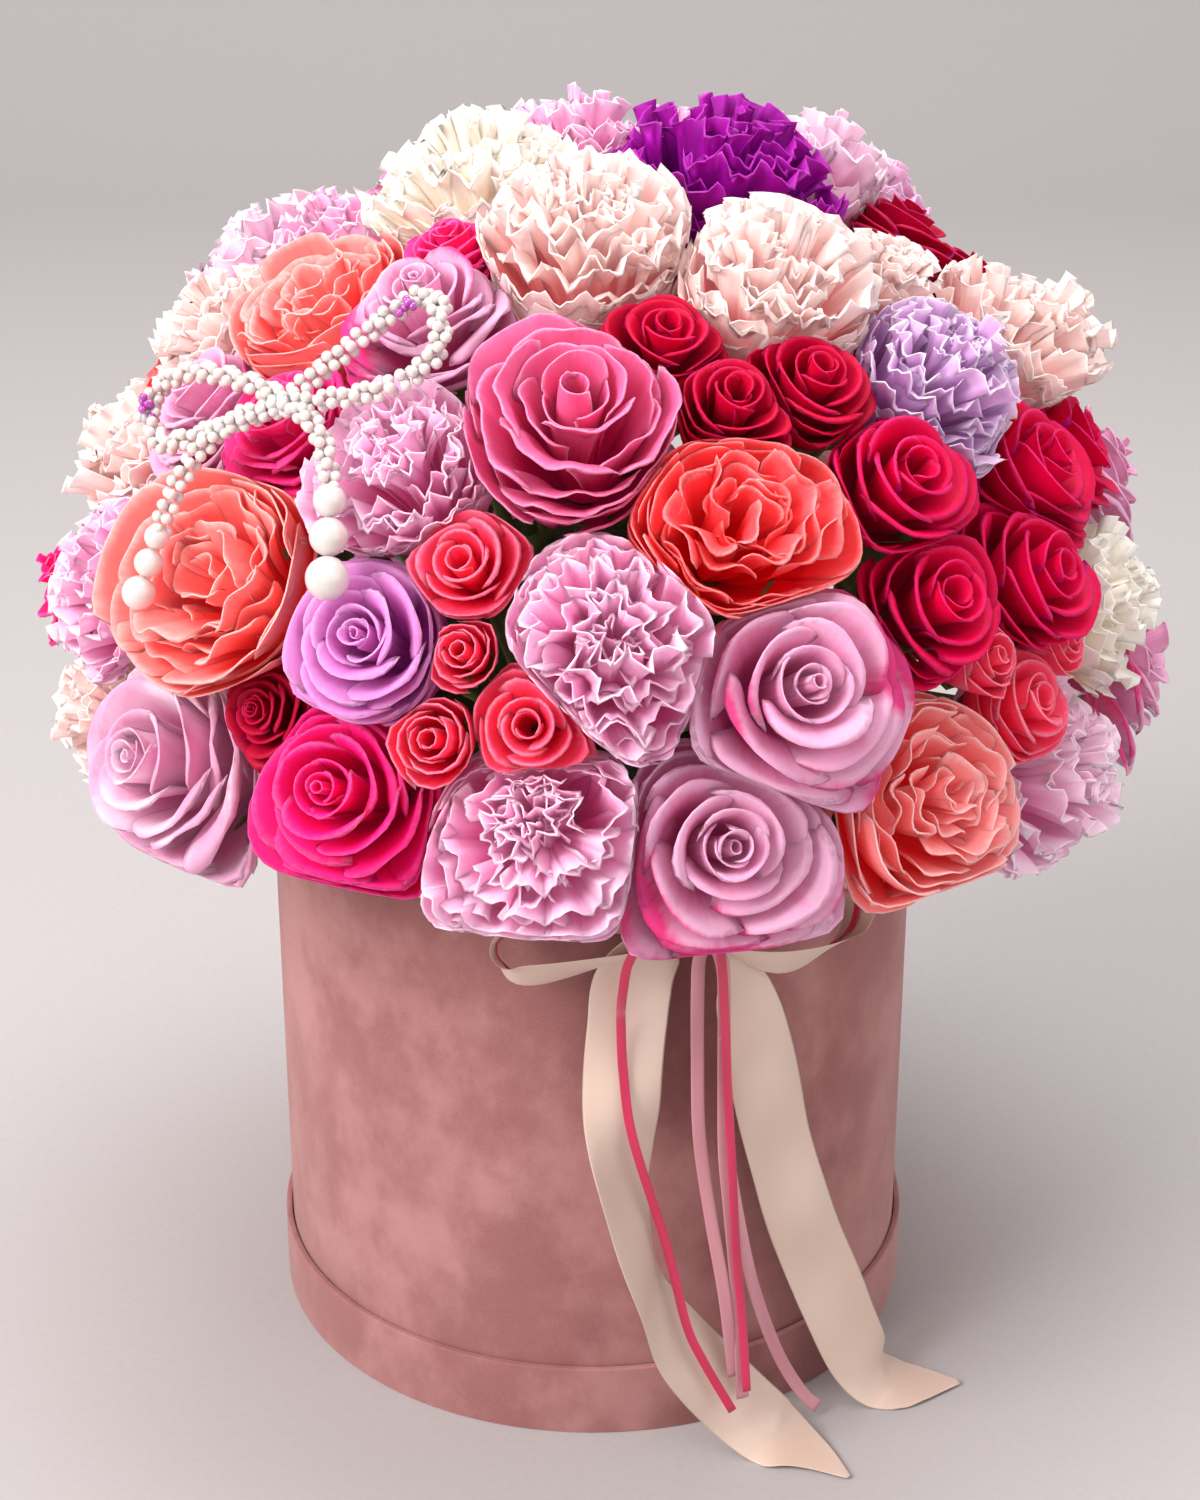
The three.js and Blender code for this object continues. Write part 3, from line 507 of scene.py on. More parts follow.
for name, stops in SATIN_ROUTES.items():
    route = smooth(stops, SATIN_STEP)
    loop, tail = "loop" in name, "tail" in name
    fold = FOLD * np.clip((route[:, 2] - FOLD_FROM) / FOLD_OVER, 0, 1) if tail else 0.0
    points, faces, grain = band(route, SATIN_WIDTH, SATIN_THICK, fold)
    strip = piece(name, points, faces, SATIN, "satin", ["satin_bow"], grain)
    long = length_of(route) * MM
    shown = max(LEAST_SHOWN, min(1.0, float(np.mean(route[:, 6]))))
    [stripe_inside(name + "_stripe", route)] if loop else []
    print(f"{name}: {long * 1000:.0f} mm of ribbon")

east = math.radians(KNOT_EAST)
knot_stops = [
    (out * math.sin(east), -out * math.cos(east), KNOT_HEIGHT, 0, 0, 1, share)
    for out, share in KNOT_STEPS
]
points, faces, grain = band(smooth(knot_stops, SATIN_STEP), SATIN_WIDTH, KNOT_DEPTH)
piece("satin_knot", points, faces, SATIN, "satin", ["satin_bow"], grain)

# %% [markdown]
# The hat box and its tray are covered in velvet. Its pile lies this way here and that way there,
# where hands have brushed it, and that makes the soft light and dark patches. A fine grain of
# single tufts lies over them.

# %% Velvet
# How many steps of each pattern there are in a metre, and the depth of the pile in metres
PATCHES, SMEARS, TUFTS, PILE = 16, 44, 2600, 0.00025


def velvet_finish():
    """Dusty-rose pile: slow blotches of brushed nap, a middle scale of mottling and the tufts."""
    finish = Finish(
        "dusty rose velvet", Sheen_Weight=0.9, Sheen_Roughness=0.35,
        Sheen_Tint=colour(255, 214, 210), Specular_IOR_Level=0.15,
    )
    place = finish.place()
    patches = finish.noise(place, PATCHES, 4.0, 0.6)
    smears = finish.noise(finish.stretch(place, (1.2, 1.2, 0.8)), SMEARS, 4.0, 0.62)
    tufts = finish.noise(place, TUFTS, 2.0, 0.7)
    nap = patches * 0.6 + smears * 0.4
    body = finish.mix(nap.above(0.40, 0.62), colour(145, 91, 90), colour(176, 124, 122))
    finish.out("Base Color", finish.mix(tufts.above(0.2, 0.9) * 0.35, body, colour(194, 146, 143)))
    finish.out("Roughness", 1.0 - nap * 0.25)
    finish.bump(tufts * 0.8 + nap * 0.2, PILE, 0.6)
    return finish.material


VELVET = velvet_finish()
print("velvet ready")

# %% [markdown]
# Under the velvet are two card tubes with bottoms, the box and the lid it stands in. Velvet has no
# hard edge, because the pile rounds every corner. So each is a turned profile whose corners are
# small arcs.

# %% Box and tray
TURNED_SIDES, ARC_POINTS = 160, 5


def rounded(outline, radius):
    """Rounds each inner corner of an outline of radius and height pairs with a short arc: the
    quadratic curve from a point before the corner to a point after it, pulled by the corner."""
    outline = np.asarray(outline, dtype=float)
    made = [outline[:1]]
    for before, corner, after in zip(outline[:-2], outline[1:-1], outline[2:]):
        start = corner + (before - corner) / np.linalg.norm(before - corner) * radius
        end = corner + (after - corner) / np.linalg.norm(after - corner) * radius
        t = np.linspace(0, 1, ARC_POINTS)[:, None]
        made.append((1 - t) ** 2 * start + 2 * t * (1 - t) * corner + t**2 * end)
    return np.concatenate([*made, outline[-1:]])


def turned(outline):
    """Spins an outline that starts and ends on the axis: radius times cosine and sine of the
    turn, and height."""
    inner = outline[1:-1]
    rings = np.concatenate([
        inner[:, None, :1] * np.stack(circle(TURNED_SIDES), -1)[None],
        np.broadcast_to(inner[:, None, 1:], (len(inner), TURNED_SIDES, 1)),
    ], -1)
    return loft(rings)


# The card and the lid's floor, the lid's size, the play between lid and box, the velvet's edge
CARD, TRAY_FLOOR, TRAY_RADIUS, TRAY_HEIGHT, FIT, EDGE = 2.2, 1.7, 111.6, 25.8, 0.4, 0.7
BOX_TOP = 205


def velvet_cup(node, outer, bottom, top, floor, wall):
    """An open cup that stands for a node. Its outline runs from the middle of its underside,
    over its rim, to the middle of its floor."""
    inner = outer - wall
    outline = [
        (0, bottom), (outer, bottom), (outer, top), (inner, top), (inner, bottom + floor),
        (0, bottom + floor),
    ]
    piece(node + "_velvet", *turned(rounded(outline, EDGE)), VELVET, "velvet", [node])


velvet_cup("base_tray", TRAY_RADIUS, 0, TRAY_HEIGHT, TRAY_FLOOR, TRAY_RADIUS - BOX_RADIUS - FIT)
velvet_cup("hat_box", BOX_RADIUS, TRAY_FLOOR + FIT, BOX_TOP, CARD, CARD)

# %% [markdown]
# Inside stand a milky plastic liner and a block of wet floral foam that domes up over the rim.
# Little of them shows, so the nodes keep their own shape. The foam gets its fine open pores and
# the dark green that water gives it. The green is also kept dark as painted shade, so that the
# gaps between the blooms read deep, and the pits of its pores are painted darker, as shade.

# %% Liner and foam
def foam_finish():
    """Wet foam: dark green, partly as painted shade for the gaps between the blooms, mottled where
    the water lies, and pitted all over, with painted shade in the pits.
    """
    finish = Finish("wet floral foam", Specular_IOR_Level=0.3)
    place = finish.place()
    pores_and_pit_shade = finish.node("ShaderNodeTexVoronoi", {}, {"Vector": place, "Scale": 700.0})
    damp = finish.noise(place, 40, 3.0)
    # painted shade: the foam's green is kept dark so that the gaps between the blooms read as deep
    # shade, and the pits of the pores are darker still
    finish.between(pores_and_pit_shade.above(0.1, 0.6) * 0.5 + damp * 0.5, (24, 38, 22), (58, 82, 48))
    finish.out("Roughness", 0.95 - damp * 0.3)
    finish.bump(pores_and_pit_shade, 0.0006, 0.8)
    return finish.material


def liner_finish():
    """Thin milky plastic with faint scuffs."""
    finish = Finish("milky liner")
    scuffs = finish.noise(finish.stretch(finish.place(), (1, 1, 8)), 90, 3.0)
    finish.between(scuffs, (205, 212, 210), (228, 232, 230))
    finish.out("Roughness", scuffs * 0.3 + 0.2)
    finish.bump(scuffs, 0.0001, 0.4)
    return finish.material


for node, material in (("floral_foam", foam_finish()), ("water_liner", liner_finish())):
    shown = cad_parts[node]
    shown.data.materials.clear()
    shown.data.materials.append(material)
    print(node, "finished as", material.name)

# %% [markdown]
# A florist builds such a bunch as a dome. So each bloom has its place on an ellipsoid, given as a
# turn from the front and a height angle, and stands a little out of it or deeper in.

# %% Dome
DOME_RADIUS, DOME_UP, DOME_DOWN, DOME_HEIGHT = 182, 168, 92, 248


def dome_place(east, up, sink):
    """A point on the dome: the ellipsoid's radius times the two angles' sines and cosines, drawn
    in by the sink. The dome is deeper above its widest circle than below it."""
    rise = DOME_UP if up > 0 else DOME_DOWN
    turn, high = math.radians(east), math.radians(up)
    flat = DOME_RADIUS * math.cos(high)
    shell = np.array([flat * math.sin(turn), -flat * math.cos(turn), rise * math.sin(high)])
    return shell * (1 - sink / DOME_RADIUS) + (0, 0, DOME_HEIGHT)


def cross_axes(axis):
    """Two directions square to an axis, the first one level."""
    level = (1.0, 0, 0) if abs(axis[2]) > 0.999 else (-axis[1], axis[0], 0)
    right = unit(np.array(level))
    return right, np.cross(axis, right)


print(f"the dome's top is {dome_place(0, 90, 0)[2]:.0f} mm above the table")

# %% [markdown]
# The bunch could be strewn at random, but its look comes from which flower stands where. So each
# flower that shows in front has a row here and its own place. The back isn't seen, and the same
# mix goes on there in larger clusters.

# %% Which flowers
# The first word of a flower's name, without an s, is its kind. After its tint comes each of its
# blooms: its turn from the front and its height angle in degrees, its reach, how far it stands
# out of the dome, and its kind where that is another.
FLOWERS = [
    ("carnation_lilac_top", "lilac", (188, 78, 23, 3)),
    ("carnation_white", "cream", (-78, 77, 31, 0)),
    ("carnation_purple", "purple", (86, 76, 33, 0)),
    ("carnation_blush_front", "blush", (-2, 70, 33, 0)),
    ("carnation_blush_right", "blush", (40, 59, 32, 2)),
    ("carnation_lilac_top_right", "pale_lilac", (118, 62, 28, 8)),
    ("carnation_dusty_top", "dusty", (146, 73, 17, 3)),
    ("carnation_blue", "blue", (56, 43, 28, 3)),
    ("carnation_blush_far_right", "blush", (88, 37, 30, 8)),
    ("carnation_lilac_upper_right", "dusty", (126, 50, 26, 6)),
    ("carnation_blush_small", "blush", (70, 55, 18, 2)),
    ("carnation_cream_right", "cream", (76, 9, 24, 2)),
    ("carnation_lilac_right_low", "pale_lilac", (60, -10, 29, 0)),
    ("carnation_lilac_centre", "lilac", (2, 21, 35, 2)),
    ("carnation_lilac_low", "lilac", (-5, 1.5, 34, 0)),
    ("carnation_lilac_left", "lilac", (-24, 38, 28, 0)),
    ("carnation_lilac_left_edge", "lilac", (-68, 15, 25, 0)),
    ("carnation_blush_left_edge", "blush", (-88, 25, 24, -4)),
    ("carnation_blush_upper_left", "blush", (-94, 42, 24, -6)),
    ("carnation_lilac_upper_left", "lilac", (-108, 57, 22, -6)),
    ("carnation_blush_low_left", "blush", (-76, -10, 22, 0)),
    ("garden_coral_upper_left", "salmon", (-62, 55, 29, -4)),
    ("garden_mauve", "mauve", (-2, 45, 35, 4, "frilled")),
    ("garden_coral_centre", "coral", (17, 33, 34, 4)),
    ("garden_peach", "peach", (37, 0, 30, 2)),
    ("garden_coral_left", "salmon", (-44, 22, 33, 4)),
    ("rose_lilac_upper_left", "rose_lilac", (-32, 57, 24, 0)),
    ("rose_lilac_right_edge", "rose_lilac", (97, 17, 25, 6)),
    ("rose_lilac_right_low", "rose_lilac", (85, -5, 31, 5)),
    ("rose_lilac_centre", "rose_lilac", (20, 15.5, 35, 4)),
    ("rose_lilac_low", "rose_lilac", (12.5, -1.5, 33, 2)),
    ("rose_violet", "violet", (-23, 20, 26, 2)),
    ("rose_hot", "hot", (-25, 3, 29, 0)),
    ("rose_silver", "silver", (-49, -1, 31, 2)),
    ("rose_magenta", "magenta", (-46, 40, 20, -3)),
    ("rose_lilac_small", "rose_lilac", (-68, 38, 20, -5)),
    ("rose_pink_left_edge", "hot", (-88, 6, 24, 2)),
    ("rose_pink_top", "rose_pink", (-130, 67, 21, -2)),
    ("rose_magenta_top", "magenta", (-45, 68, 15, -4)),
    ("rose_crimson_low", "crimson", (-37, 9, 14, -6)),
    ("spray_red", "red", (13, 55, 17, 0), (20, 46, 18, 2), (34, 47, 18, 2)),
    ("spray_hot_front", "hot_red", (40, 34, 22, 4), (40, 21, 21, 2)),
    ("spray_hot_right", "hot_red", (66, 29, 22, 4), (56, 19, 22, 4), (84, 26, 21, 4)),
    ("spray_coral_right", "coral_pink",
        (51, 6, 18, 2), (45, 13, 12, 0, "bud"), (60, 10, 10, 0, "bud")),
    ("spray_coral_left", "coral_pink",
        (-14, 29, 17, 2), (-6, 13, 18, 2), (-15, 11, 13, 4, "bud"), (-13, 20, 11, 2, "bud")),
    ("spray_crimson", "crimson", (104, 53, 18, 6), (110, 40, 21, 6)),
    ("carnations_back_right", "lilac", (108, -6, 33, 0), (119, 20, 31, 0), (138, 42, 26, 0)),
    ("roses_back_right", "hot",
        (132, -6, 34, 0), (144, 19, 32, 0), (162, 42, 28, 0), (160, 61, 23, -2)),
    ("carnations_back_middle", "blush",
        (156, -6, 34, 0), (168, 19, 32, 0), (188, 42, 29, 0), (200, 62, 25, 0)),
    ("roses_back_middle", "rose_lilac", (180, -6, 34, 0), (192, 19, 32, 0), (214, 42, 29, 0)),
    ("carnations_back_left", "pale_lilac", (204, -6, 34, 0), (216, 19, 32, 0), (240, 42, 29, 0)),
    ("roses_back_left", "coral", (228, -6, 34, 0), (241, 19, 32, 0), (252, -6, 32, 0)),
]
print(len(FLOWERS), "flowers")

# %% [markdown]
# Each bloom looks away from one point deep in the foam, and the lowest ones from a lower point.
# Where two meet, a flat wall stands between them, shared out by their reach, and petals bend
# smoothly so that they never pass it. The lowest blooms have a wall below them too, where their
# skirt of petals ends.

# %% Room for each bloom
HEAD_SINK, HEAD_GAP, SQUEEZE, HEAD_FULL = 18, 0.5, 8, 1.5
SKIRT, SKIRT_BELOW = 0.92, 8
AIM, LOW_AIM = np.array([0.0, 0.0, 200.0]), np.array([0.0, 0.0, 170.0])
# Where the pearl bow's pick passes the dome, and the room that it needs
PICK = (dome_place(-38, 41, HEAD_SINK), 2)
# A bloom's turn about its own axis in degrees: a step for its number, one for its flower's name
TURN_STEP, NAME_STEP, TURN_MOST = 37, 23, 72
FIRST_SEED = 100

heads = []
for flower, tint, *blooms in FLOWERS:
    for index, (east, up, reach, out, *other) in enumerate(blooms):
        centre = dome_place(east, up, HEAD_SINK - out)
        low = up < SKIRT_BELOW
        heads.append({
            "flower": flower,
            "kind": other[0] if other else flower.split("_")[0].rstrip("s"),
            "centre": centre,
            "reach": HEAD_FULL * reach,
            "facing": unit(centre - (LOW_AIM if low else AIM)),
            "turn": (TURN_STEP * index + NAME_STEP * len(flower)) % TURN_MOST,
            "size": reach,
            "skirt": SKIRT * reach if low else 0,
            "back": "_back_" in flower,
            "seed": FIRST_SEED + len(heads),
        })
rooms = [(head["centre"], head["reach"]) for head in heads] + [PICK]
for head in heads:
    walls = []
    for centre, reach in rooms:
        apart = centre - head["centre"]
        distance = np.linalg.norm(apart)
        room = distance * head["reach"] / (head["reach"] + reach) - HEAD_GAP / 2
        if centre is not head["centre"] and room < 2 * head["reach"]:
            walls.append((*(apart / distance), room))
    if head["skirt"]:
        walls.append((*-cross_axes(head["facing"])[1], head["skirt"]))
    head["walls"] = np.array(walls)
print(len(heads), "blooms and buds, with", sum(len(head["walls"]) for head in heads), "walls")


def squeeze(head, points, give):
    """Bends points back from the walls: each is drawn towards the bloom's middle by the length of
    its shares of the ways to the walls, with 1, taken as a norm of a high power. give moves the
    walls out or in for each petal, so that the edges of neighbours lie over each other."""
    out = points - head["centre"]
    shares = np.maximum(out @ head["walls"][:, :3].T / head["walls"][:, 3] / give, 0)
    total = 1 + (shares**SQUEEZE).sum(-1, keepdims=True)
    return head["centre"] + out * total ** (-1 / SQUEEZE)


# %% [markdown]
# A bloom is a table of rings of petals, from the outside in. A rose has few broad petals that
# overlap in a spiral, and a carnation many narrow fans with pinked edges. With one table for each
# kind, a single formula makes them all.

# %% Kinds of bloom
# The shape of a kind's petals, in shares of the bloom's reach: the width of the foot and the
# height where it starts, the slant on the spiral, how far the edge is cut back at the corners and
# drawn out in the middle, and the depth of its teeth. Then the points across and along, how
# loosely petals stand, the turn of the rolled edge, and how many finer waves the ruffle has.
SHAPE = (
    "foot", "bottom", "spiral", "corner", "peak", "teeth", "across", "along", "loose", "turn",
    "waves",
)
# Then each ring: petals, radius and height of the rim, half the angle that a petal spans, how far
# it leans out from upright, how far its sides drop, the radius of the rolled edge, the depth of
# the ruffle and its waves across, and how far petals stray from the ring. Angles are in degrees.
KINDS = {
    "rose": ((0.05, -0.72, 0.1, 0.16, 0.3, 0, 13, 8, 0.045, 160, 2), [
        (5, 1.04, -0.18, 46, 100, 0.15, 0.07, 0.034, 2, 0.03),
        (5, 0.9, -0.04, 46, 82, 0.18, 0.065, 0.03, 1.9, 0.03),
        (5, 0.75, 0.09, 47, 64, 0.18, 0.055, 0.024, 1.8, 0.02),
        (5, 0.59, 0.2, 50, 48, 0.17, 0.042, 0.018, 1.6, 0.02),
        (4, 0.44, 0.3, 60, 34, 0.15, 0.03, 0.012, 1.4, 0.02),
        (3, 0.3, 0.37, 78, 22, 0.13, 0.022, 0.008, 1.2, 0.01),
        (3, 0.19, 0.42, 90, 13, 0.11, 0.014, 0.004, 1, 0.01),
        (3, 0.1, 0.45, 100, 7, 0.08, 0.008, 0, 1, 0),
        (2, 0.04, 0.46, 130, 3, 0.04, 0.003, 0, 1, 0),
    ]),
    "garden": ((0.05, -0.7, 0.06, 0.26, -0.02, 0.004, 13, 7, 0.07, 120, 1), [
        (5, 1.02, -0.1, 46, 84, 0.06, 0.05, 0.025, 1.8, 0.02),
        (5, 0.93, 0.02, 44, 58, 0.05, 0.045, 0.025, 1.8, 0.03),
        (6, 0.8, 0.12, 40, 36, 0.05, 0.03, 0.025, 1.8, 0.03),
        (9, 0.66, 0.15, 28, 34, 0.06, 0.012, 0.04, 1.6, 0.05),
        (9, 0.52, 0.18, 31, 30, 0.06, 0.01, 0.045, 1.6, 0.06),
        (8, 0.39, 0.2, 37, 24, 0.06, 0.008, 0.045, 1.6, 0.06),
        (7, 0.27, 0.2, 46, 18, 0.05, 0.005, 0.04, 1.5, 0.06),
        (5, 0.15, 0.19, 66, 12, 0.04, 0, 0.03, 1.4, 0.04),
    ]),
    "frilled": ((0.05, -0.72, 0.09, 0.18, -0.02, 0.006, 17, 9, 0.05, 120, 2), [
        (6, 1.02, -0.14, 40, 94, 0.06, 0.045, 0.045, 2.6, 0.02),
        (6, 0.9, -0.01, 40, 76, 0.06, 0.045, 0.045, 2.6, 0.03),
        (6, 0.75, 0.11, 42, 58, 0.06, 0.04, 0.04, 2.4, 0.03),
        (5, 0.59, 0.2, 48, 42, 0.08, 0.03, 0.032, 2, 0.03),
        (5, 0.44, 0.27, 52, 30, 0.08, 0.022, 0.024, 1.8, 0.03),
        (4, 0.3, 0.31, 66, 20, 0.08, 0.015, 0.016, 1.5, 0.03),
        (3, 0.18, 0.33, 84, 12, 0.06, 0.01, 0.01, 1.2, 0.02),
        (2, 0.08, 0.34, 130, 5, 0.04, 0.004, 0, 1, 0),
    ]),
    "carnation": ((0.06, -0.78, 0.05, 0.14, 0, 0.014, 20, 6, 0.08, 80, 3), [
        (7, 1.04, -0.14, 34, 100, 0.02, 0.015, 0.07, 2.9, 0.03),
        (7, 0.92, -0.03, 35, 84, 0.02, 0.015, 0.08, 3, 0.04),
        (7, 0.79, 0.09, 36, 66, 0.02, 0.015, 0.08, 3, 0.05),
        (7, 0.65, 0.2, 38, 50, 0.02, 0.015, 0.078, 2.9, 0.06),
        (7, 0.51, 0.29, 42, 38, 0.02, 0.015, 0.074, 2.8, 0.07),
        (6, 0.38, 0.37, 50, 28, 0.02, 0.015, 0.068, 2.7, 0.07),
        (6, 0.26, 0.43, 56, 20, 0.02, 0.015, 0.06, 2.6, 0.07),
        (5, 0.15, 0.46, 70, 12, 0.02, 0.01, 0.055, 2.4, 0.05),
        (3, 0.06, 0.47, 100, 5, 0.02, 0.005, 0.04, 2.2, 0.03),
    ]),
    "spray": ((0.06, -0.72, 0.1, 0.14, 0.06, 0, 13, 7, 0.04, 150, 2), [
        (5, 1, -0.1, 46, 84, 0.12, 0.085, 0.016, 1.5, 0.02),
        (5, 0.83, 0.06, 47, 62, 0.12, 0.07, 0.012, 1.5, 0.02),
        (4, 0.63, 0.2, 56, 42, 0.13, 0.055, 0.01, 1.4, 0.01),
        (3, 0.44, 0.3, 72, 28, 0.13, 0.04, 0.006, 1.2, 0.01),
        (3, 0.28, 0.37, 84, 16, 0.11, 0.025, 0.004, 1, 0.01),
        (3, 0.15, 0.41, 96, 8, 0.08, 0.012, 0, 1, 0),
    ]),
    "bud": ((0.16, -0.8, 0.12, 0.14, 0.06, 0, 11, 9, 0.04, 120, 1), [
        (4, 0.7, 0.34, 62, 14, 0.16, 0.06, 0.014, 1.4, 0),
        (3, 0.5, 0.5, 80, 8, 0.16, 0.04, 0.01, 1.2, 0),
        (3, 0.32, 0.6, 90, 2, 0.14, 0.025, 0.006, 1, 0),
        (2, 0.15, 0.66, 125, 0, 0.1, 0.01, 0, 1, 0),
    ]),
}
print("kinds of bloom:", ", ".join(KINDS))

# %% [markdown]
# A petal is one formula, with two parameters: one runs across it, and one from its foot to its
# edge. The foot sits low in the bloom, the sheet climbs and opens to its own ring, and the edge
# rolls back, ruffles or is cut into teeth.

# %% The form of a petal
# A bloom at the back has this share of the points across and along
BACK_ACROSS, BACK_ALONG, LEAST_ALONG = 0.6, 0.75, 5
FULL_SIZE, RING_TURN, LEAN_STRAY = 34, math.radians(47), 180
# The rows of points lie closer towards the edge; the rest are powers and shares of a petal's form
ROW_CROWD, CORNER_POWER, PEAK_POWER, SIDE_POWER = 1.4, 3, 2, 2.5
NOTCHES, BAY_WAVES, BAY_DEPTH = (0.2, 1.8), (2, 5), 1.2
ROLL_START, ROLL_MOST, ROLL_STRAY = 0.82, 1.3, 0.25
ROLL_MIDDLE, ROLL_SIDES, ROLL_POWER = 0.35, 0.65, 1.5
LEAN_LENGTH, HINGE_PULL = 0.34, 0.85
FOOT_SPAN, RIM_SPAN = 0.55, 0.45
FINER_WAVES = ((1.0, 1.0, 2), (2.3, 0.45, 3), (3.7, 0.14, 4))
BAY_TURN, RUFFLE_TURN, PRESSED = 6, 6.3, 0.045


def fineness(head, kind):
    """Points across and along a petal: fewer on a small bloom, and on one at the back."""
    across, along = kind["across"] * math.sqrt(head["size"] / FULL_SIZE), kind["along"]
    if head["back"]:
        across, along = kind["across"] * BACK_ACROSS, along * BACK_ALONG
    return 2 * round(across / 2) + 1, max(LEAST_ALONG, round(along))


def curve(q, *stops):
    """A smooth curve through the first and last of four stops, which the two between draw to
    themselves: each stop times its share of the powers of q and 1 - q."""
    a, b, c, d = stops
    p = 1 - q
    return a * p**3 + 3 * b * p**2 * q + 3 * c * p * q**2 + d * q**3


def bloom(head):
    """All the petals of one head. A petal's profile is a smooth curve from its foot to its rim,
    which it meets at its own lean, and past the rim an arc rolls outwards, most at the petal's
    sides. Across, it spans its share of the ring on a slight spiral, and its sides drop. The
    ruffle is waves across, square to the petal, each finer one nearer to the edge."""
    shape, rings = KINDS[head["kind"]]
    kind = dict(zip(SHAPE, shape))
    spin = np.random.default_rng(head["seed"])
    counts = np.array([row[0] for row in rings])
    ring = np.repeat(np.arange(len(counts)), counts)
    count = len(ring)
    radius, height, spread, lean, drop, roll, ruffle, waves, stray = (
        np.array(column)[ring][:, None, None] for column in list(zip(*rings))[1:]
    )
    within = np.concatenate([np.arange(number) for number in counts]) / counts[ring]
    turn = math.radians(head["turn"]) + 2 * np.pi * within + RING_TURN * ring
    loose = kind["loose"]

    def jitter(size):
        return spin.normal(0, size, (count, 1, 1)).clip(-2 * size, 2 * size)

    across, along = fineness(head, kind)
    u = np.linspace(-1, 1, across)[None, None]
    v = 1 - (1 - np.linspace(0, 1, along))[None, :, None] ** ROW_CROWD
    off = np.abs(u)
    tips = 1 - kind["corner"] * off**CORNER_POWER + kind["peak"] * (1 - off) ** PEAK_POWER
    if kind["teeth"]:
        notch = (np.arange(across) % 2) * spin.uniform(*NOTCHES, (count, 1, across))
        waves_across = spin.uniform(*BAY_WAVES, (count, 1, 1)) * u
        bay = np.sin(waves_across + spin.uniform(0, BAY_TURN, (count, 1, 1)))
        tips = tips - kind["teeth"] * (notch + BAY_DEPTH * bay)
    s = v * (1 - (1 - tips) * v**2)
    q = np.clip(s / ROLL_START, 0, 1)
    radius = radius * (1 + jitter(loose))
    height = height + jitter(loose)
    lean = np.radians(lean + jitter(LEAN_STRAY * loose))
    rise, away = np.cos(lean), np.sin(lean)
    hinge = np.maximum(radius - LEAN_LENGTH * away, kind["foot"])
    low = height - LEAN_LENGTH * rise
    r = curve(q, kind["foot"], HINGE_PULL * hinge, hinge, radius)
    z = curve(q, kind["bottom"], (low + kind["bottom"]) / 2, low, height)
    past = np.clip((s - ROLL_START) / (1 - ROLL_START), 0, ROLL_MOST)
    bend = past * math.radians(kind["turn"]) * (ROLL_MIDDLE + ROLL_SIDES * off**ROLL_POWER)
    roll = roll * (1 + jitter(ROLL_STRAY))
    r = r + roll * ((1 - np.cos(bend)) * rise + np.sin(bend) * away)
    z = z + roll * (np.sin(bend) * rise - (1 - np.cos(bend)) * away)
    z = z - drop * off**SIDE_POWER * v**2
    wave = sum(
        share * v**power
        * np.sin(finer * np.pi * waves * u + spin.uniform(0, RUFFLE_TURN, (count, 1, 1)))
        for finer, share, power in FINER_WAVES[:kind["waves"]]
    )
    r = r - ruffle * wave * rise
    z = z + ruffle * wave * away
    span = np.radians(spread) * u * (FOOT_SPAN + RIM_SPAN * q)
    angle = turn[:, None, None] + jitter(loose) + span
    r = r * (1 + kind["spiral"] * u)
    right, up = cross_axes(head["facing"])
    x = r * np.cos(angle) + stray * q**2 * spin.normal(0, 1, (count, 1, 1))
    y = r * np.sin(angle) + stray * q**2 * spin.normal(0, 1, (count, 1, 1))
    points = head["centre"] + head["reach"] * (
        x[..., None] * right + y[..., None] * up + z[..., None] * head["facing"]
    )
    points = squeeze(head, points, 1 + jitter(PRESSED)[..., None])
    tone = spin.uniform(0, 1, (count, 1, 1))
    outer = 1 - ring[:, None, None] / len(counts)
    grain = [np.broadcast_to(part, points.shape[:3]) for part in (u, v, tone, outer)]
    return points, np.stack(grain, -1)


# %% [markdown]
# A real petal is thin but has two sides. So behind each petal's front lies a second sheet, which
# shares the front's border and closes it, and no edge is left open.

# %% Thin petals
PETAL_THICK = 0.4


def petal_faces(across, along):
    """The faces of one petal: a front grid, and a back grid that shares the front's border."""
    front = np.arange(along * across).reshape(along, across)
    back = front.copy()
    inner = (along - 2) * (across - 2)
    back[1:-1, 1:-1] = along * across + np.arange(inner).reshape(along - 2, across - 2)
    quads = [
        np.stack([grid[:-1, :-1], grid[:-1, 1:], grid[1:, 1:], grid[1:, :-1]], -1).reshape(-1, 4)
        for grid in (front, back)
    ]
    return np.concatenate([quads[0], quads[1][:, ::-1]]), along * across + inner


def petal_bodies(points, grain):
    """Gives every petal its back: the front drawn in along its normal, but not at its border."""
    count, along, across = points.shape[:3]
    normal = unit(np.cross(np.gradient(points, axis=2), np.gradient(points, axis=1)))
    back = (points - PETAL_THICK * normal)[:, 1:-1, 1:-1]
    quads, each = petal_faces(across, along)
    points, grain = (
        np.concatenate([front.reshape(count, -1, size), inner.reshape(count, -1, size)], 1)
        for front, inner, size in ((points, back, 3), (grain, grain[:, 1:-1, 1:-1], 4))
    )
    faces = (quads[None] + each * np.arange(count)[:, None, None]).reshape(-1, 4)
    return points.reshape(-1, 3), [faces], grain.reshape(-1, 4)
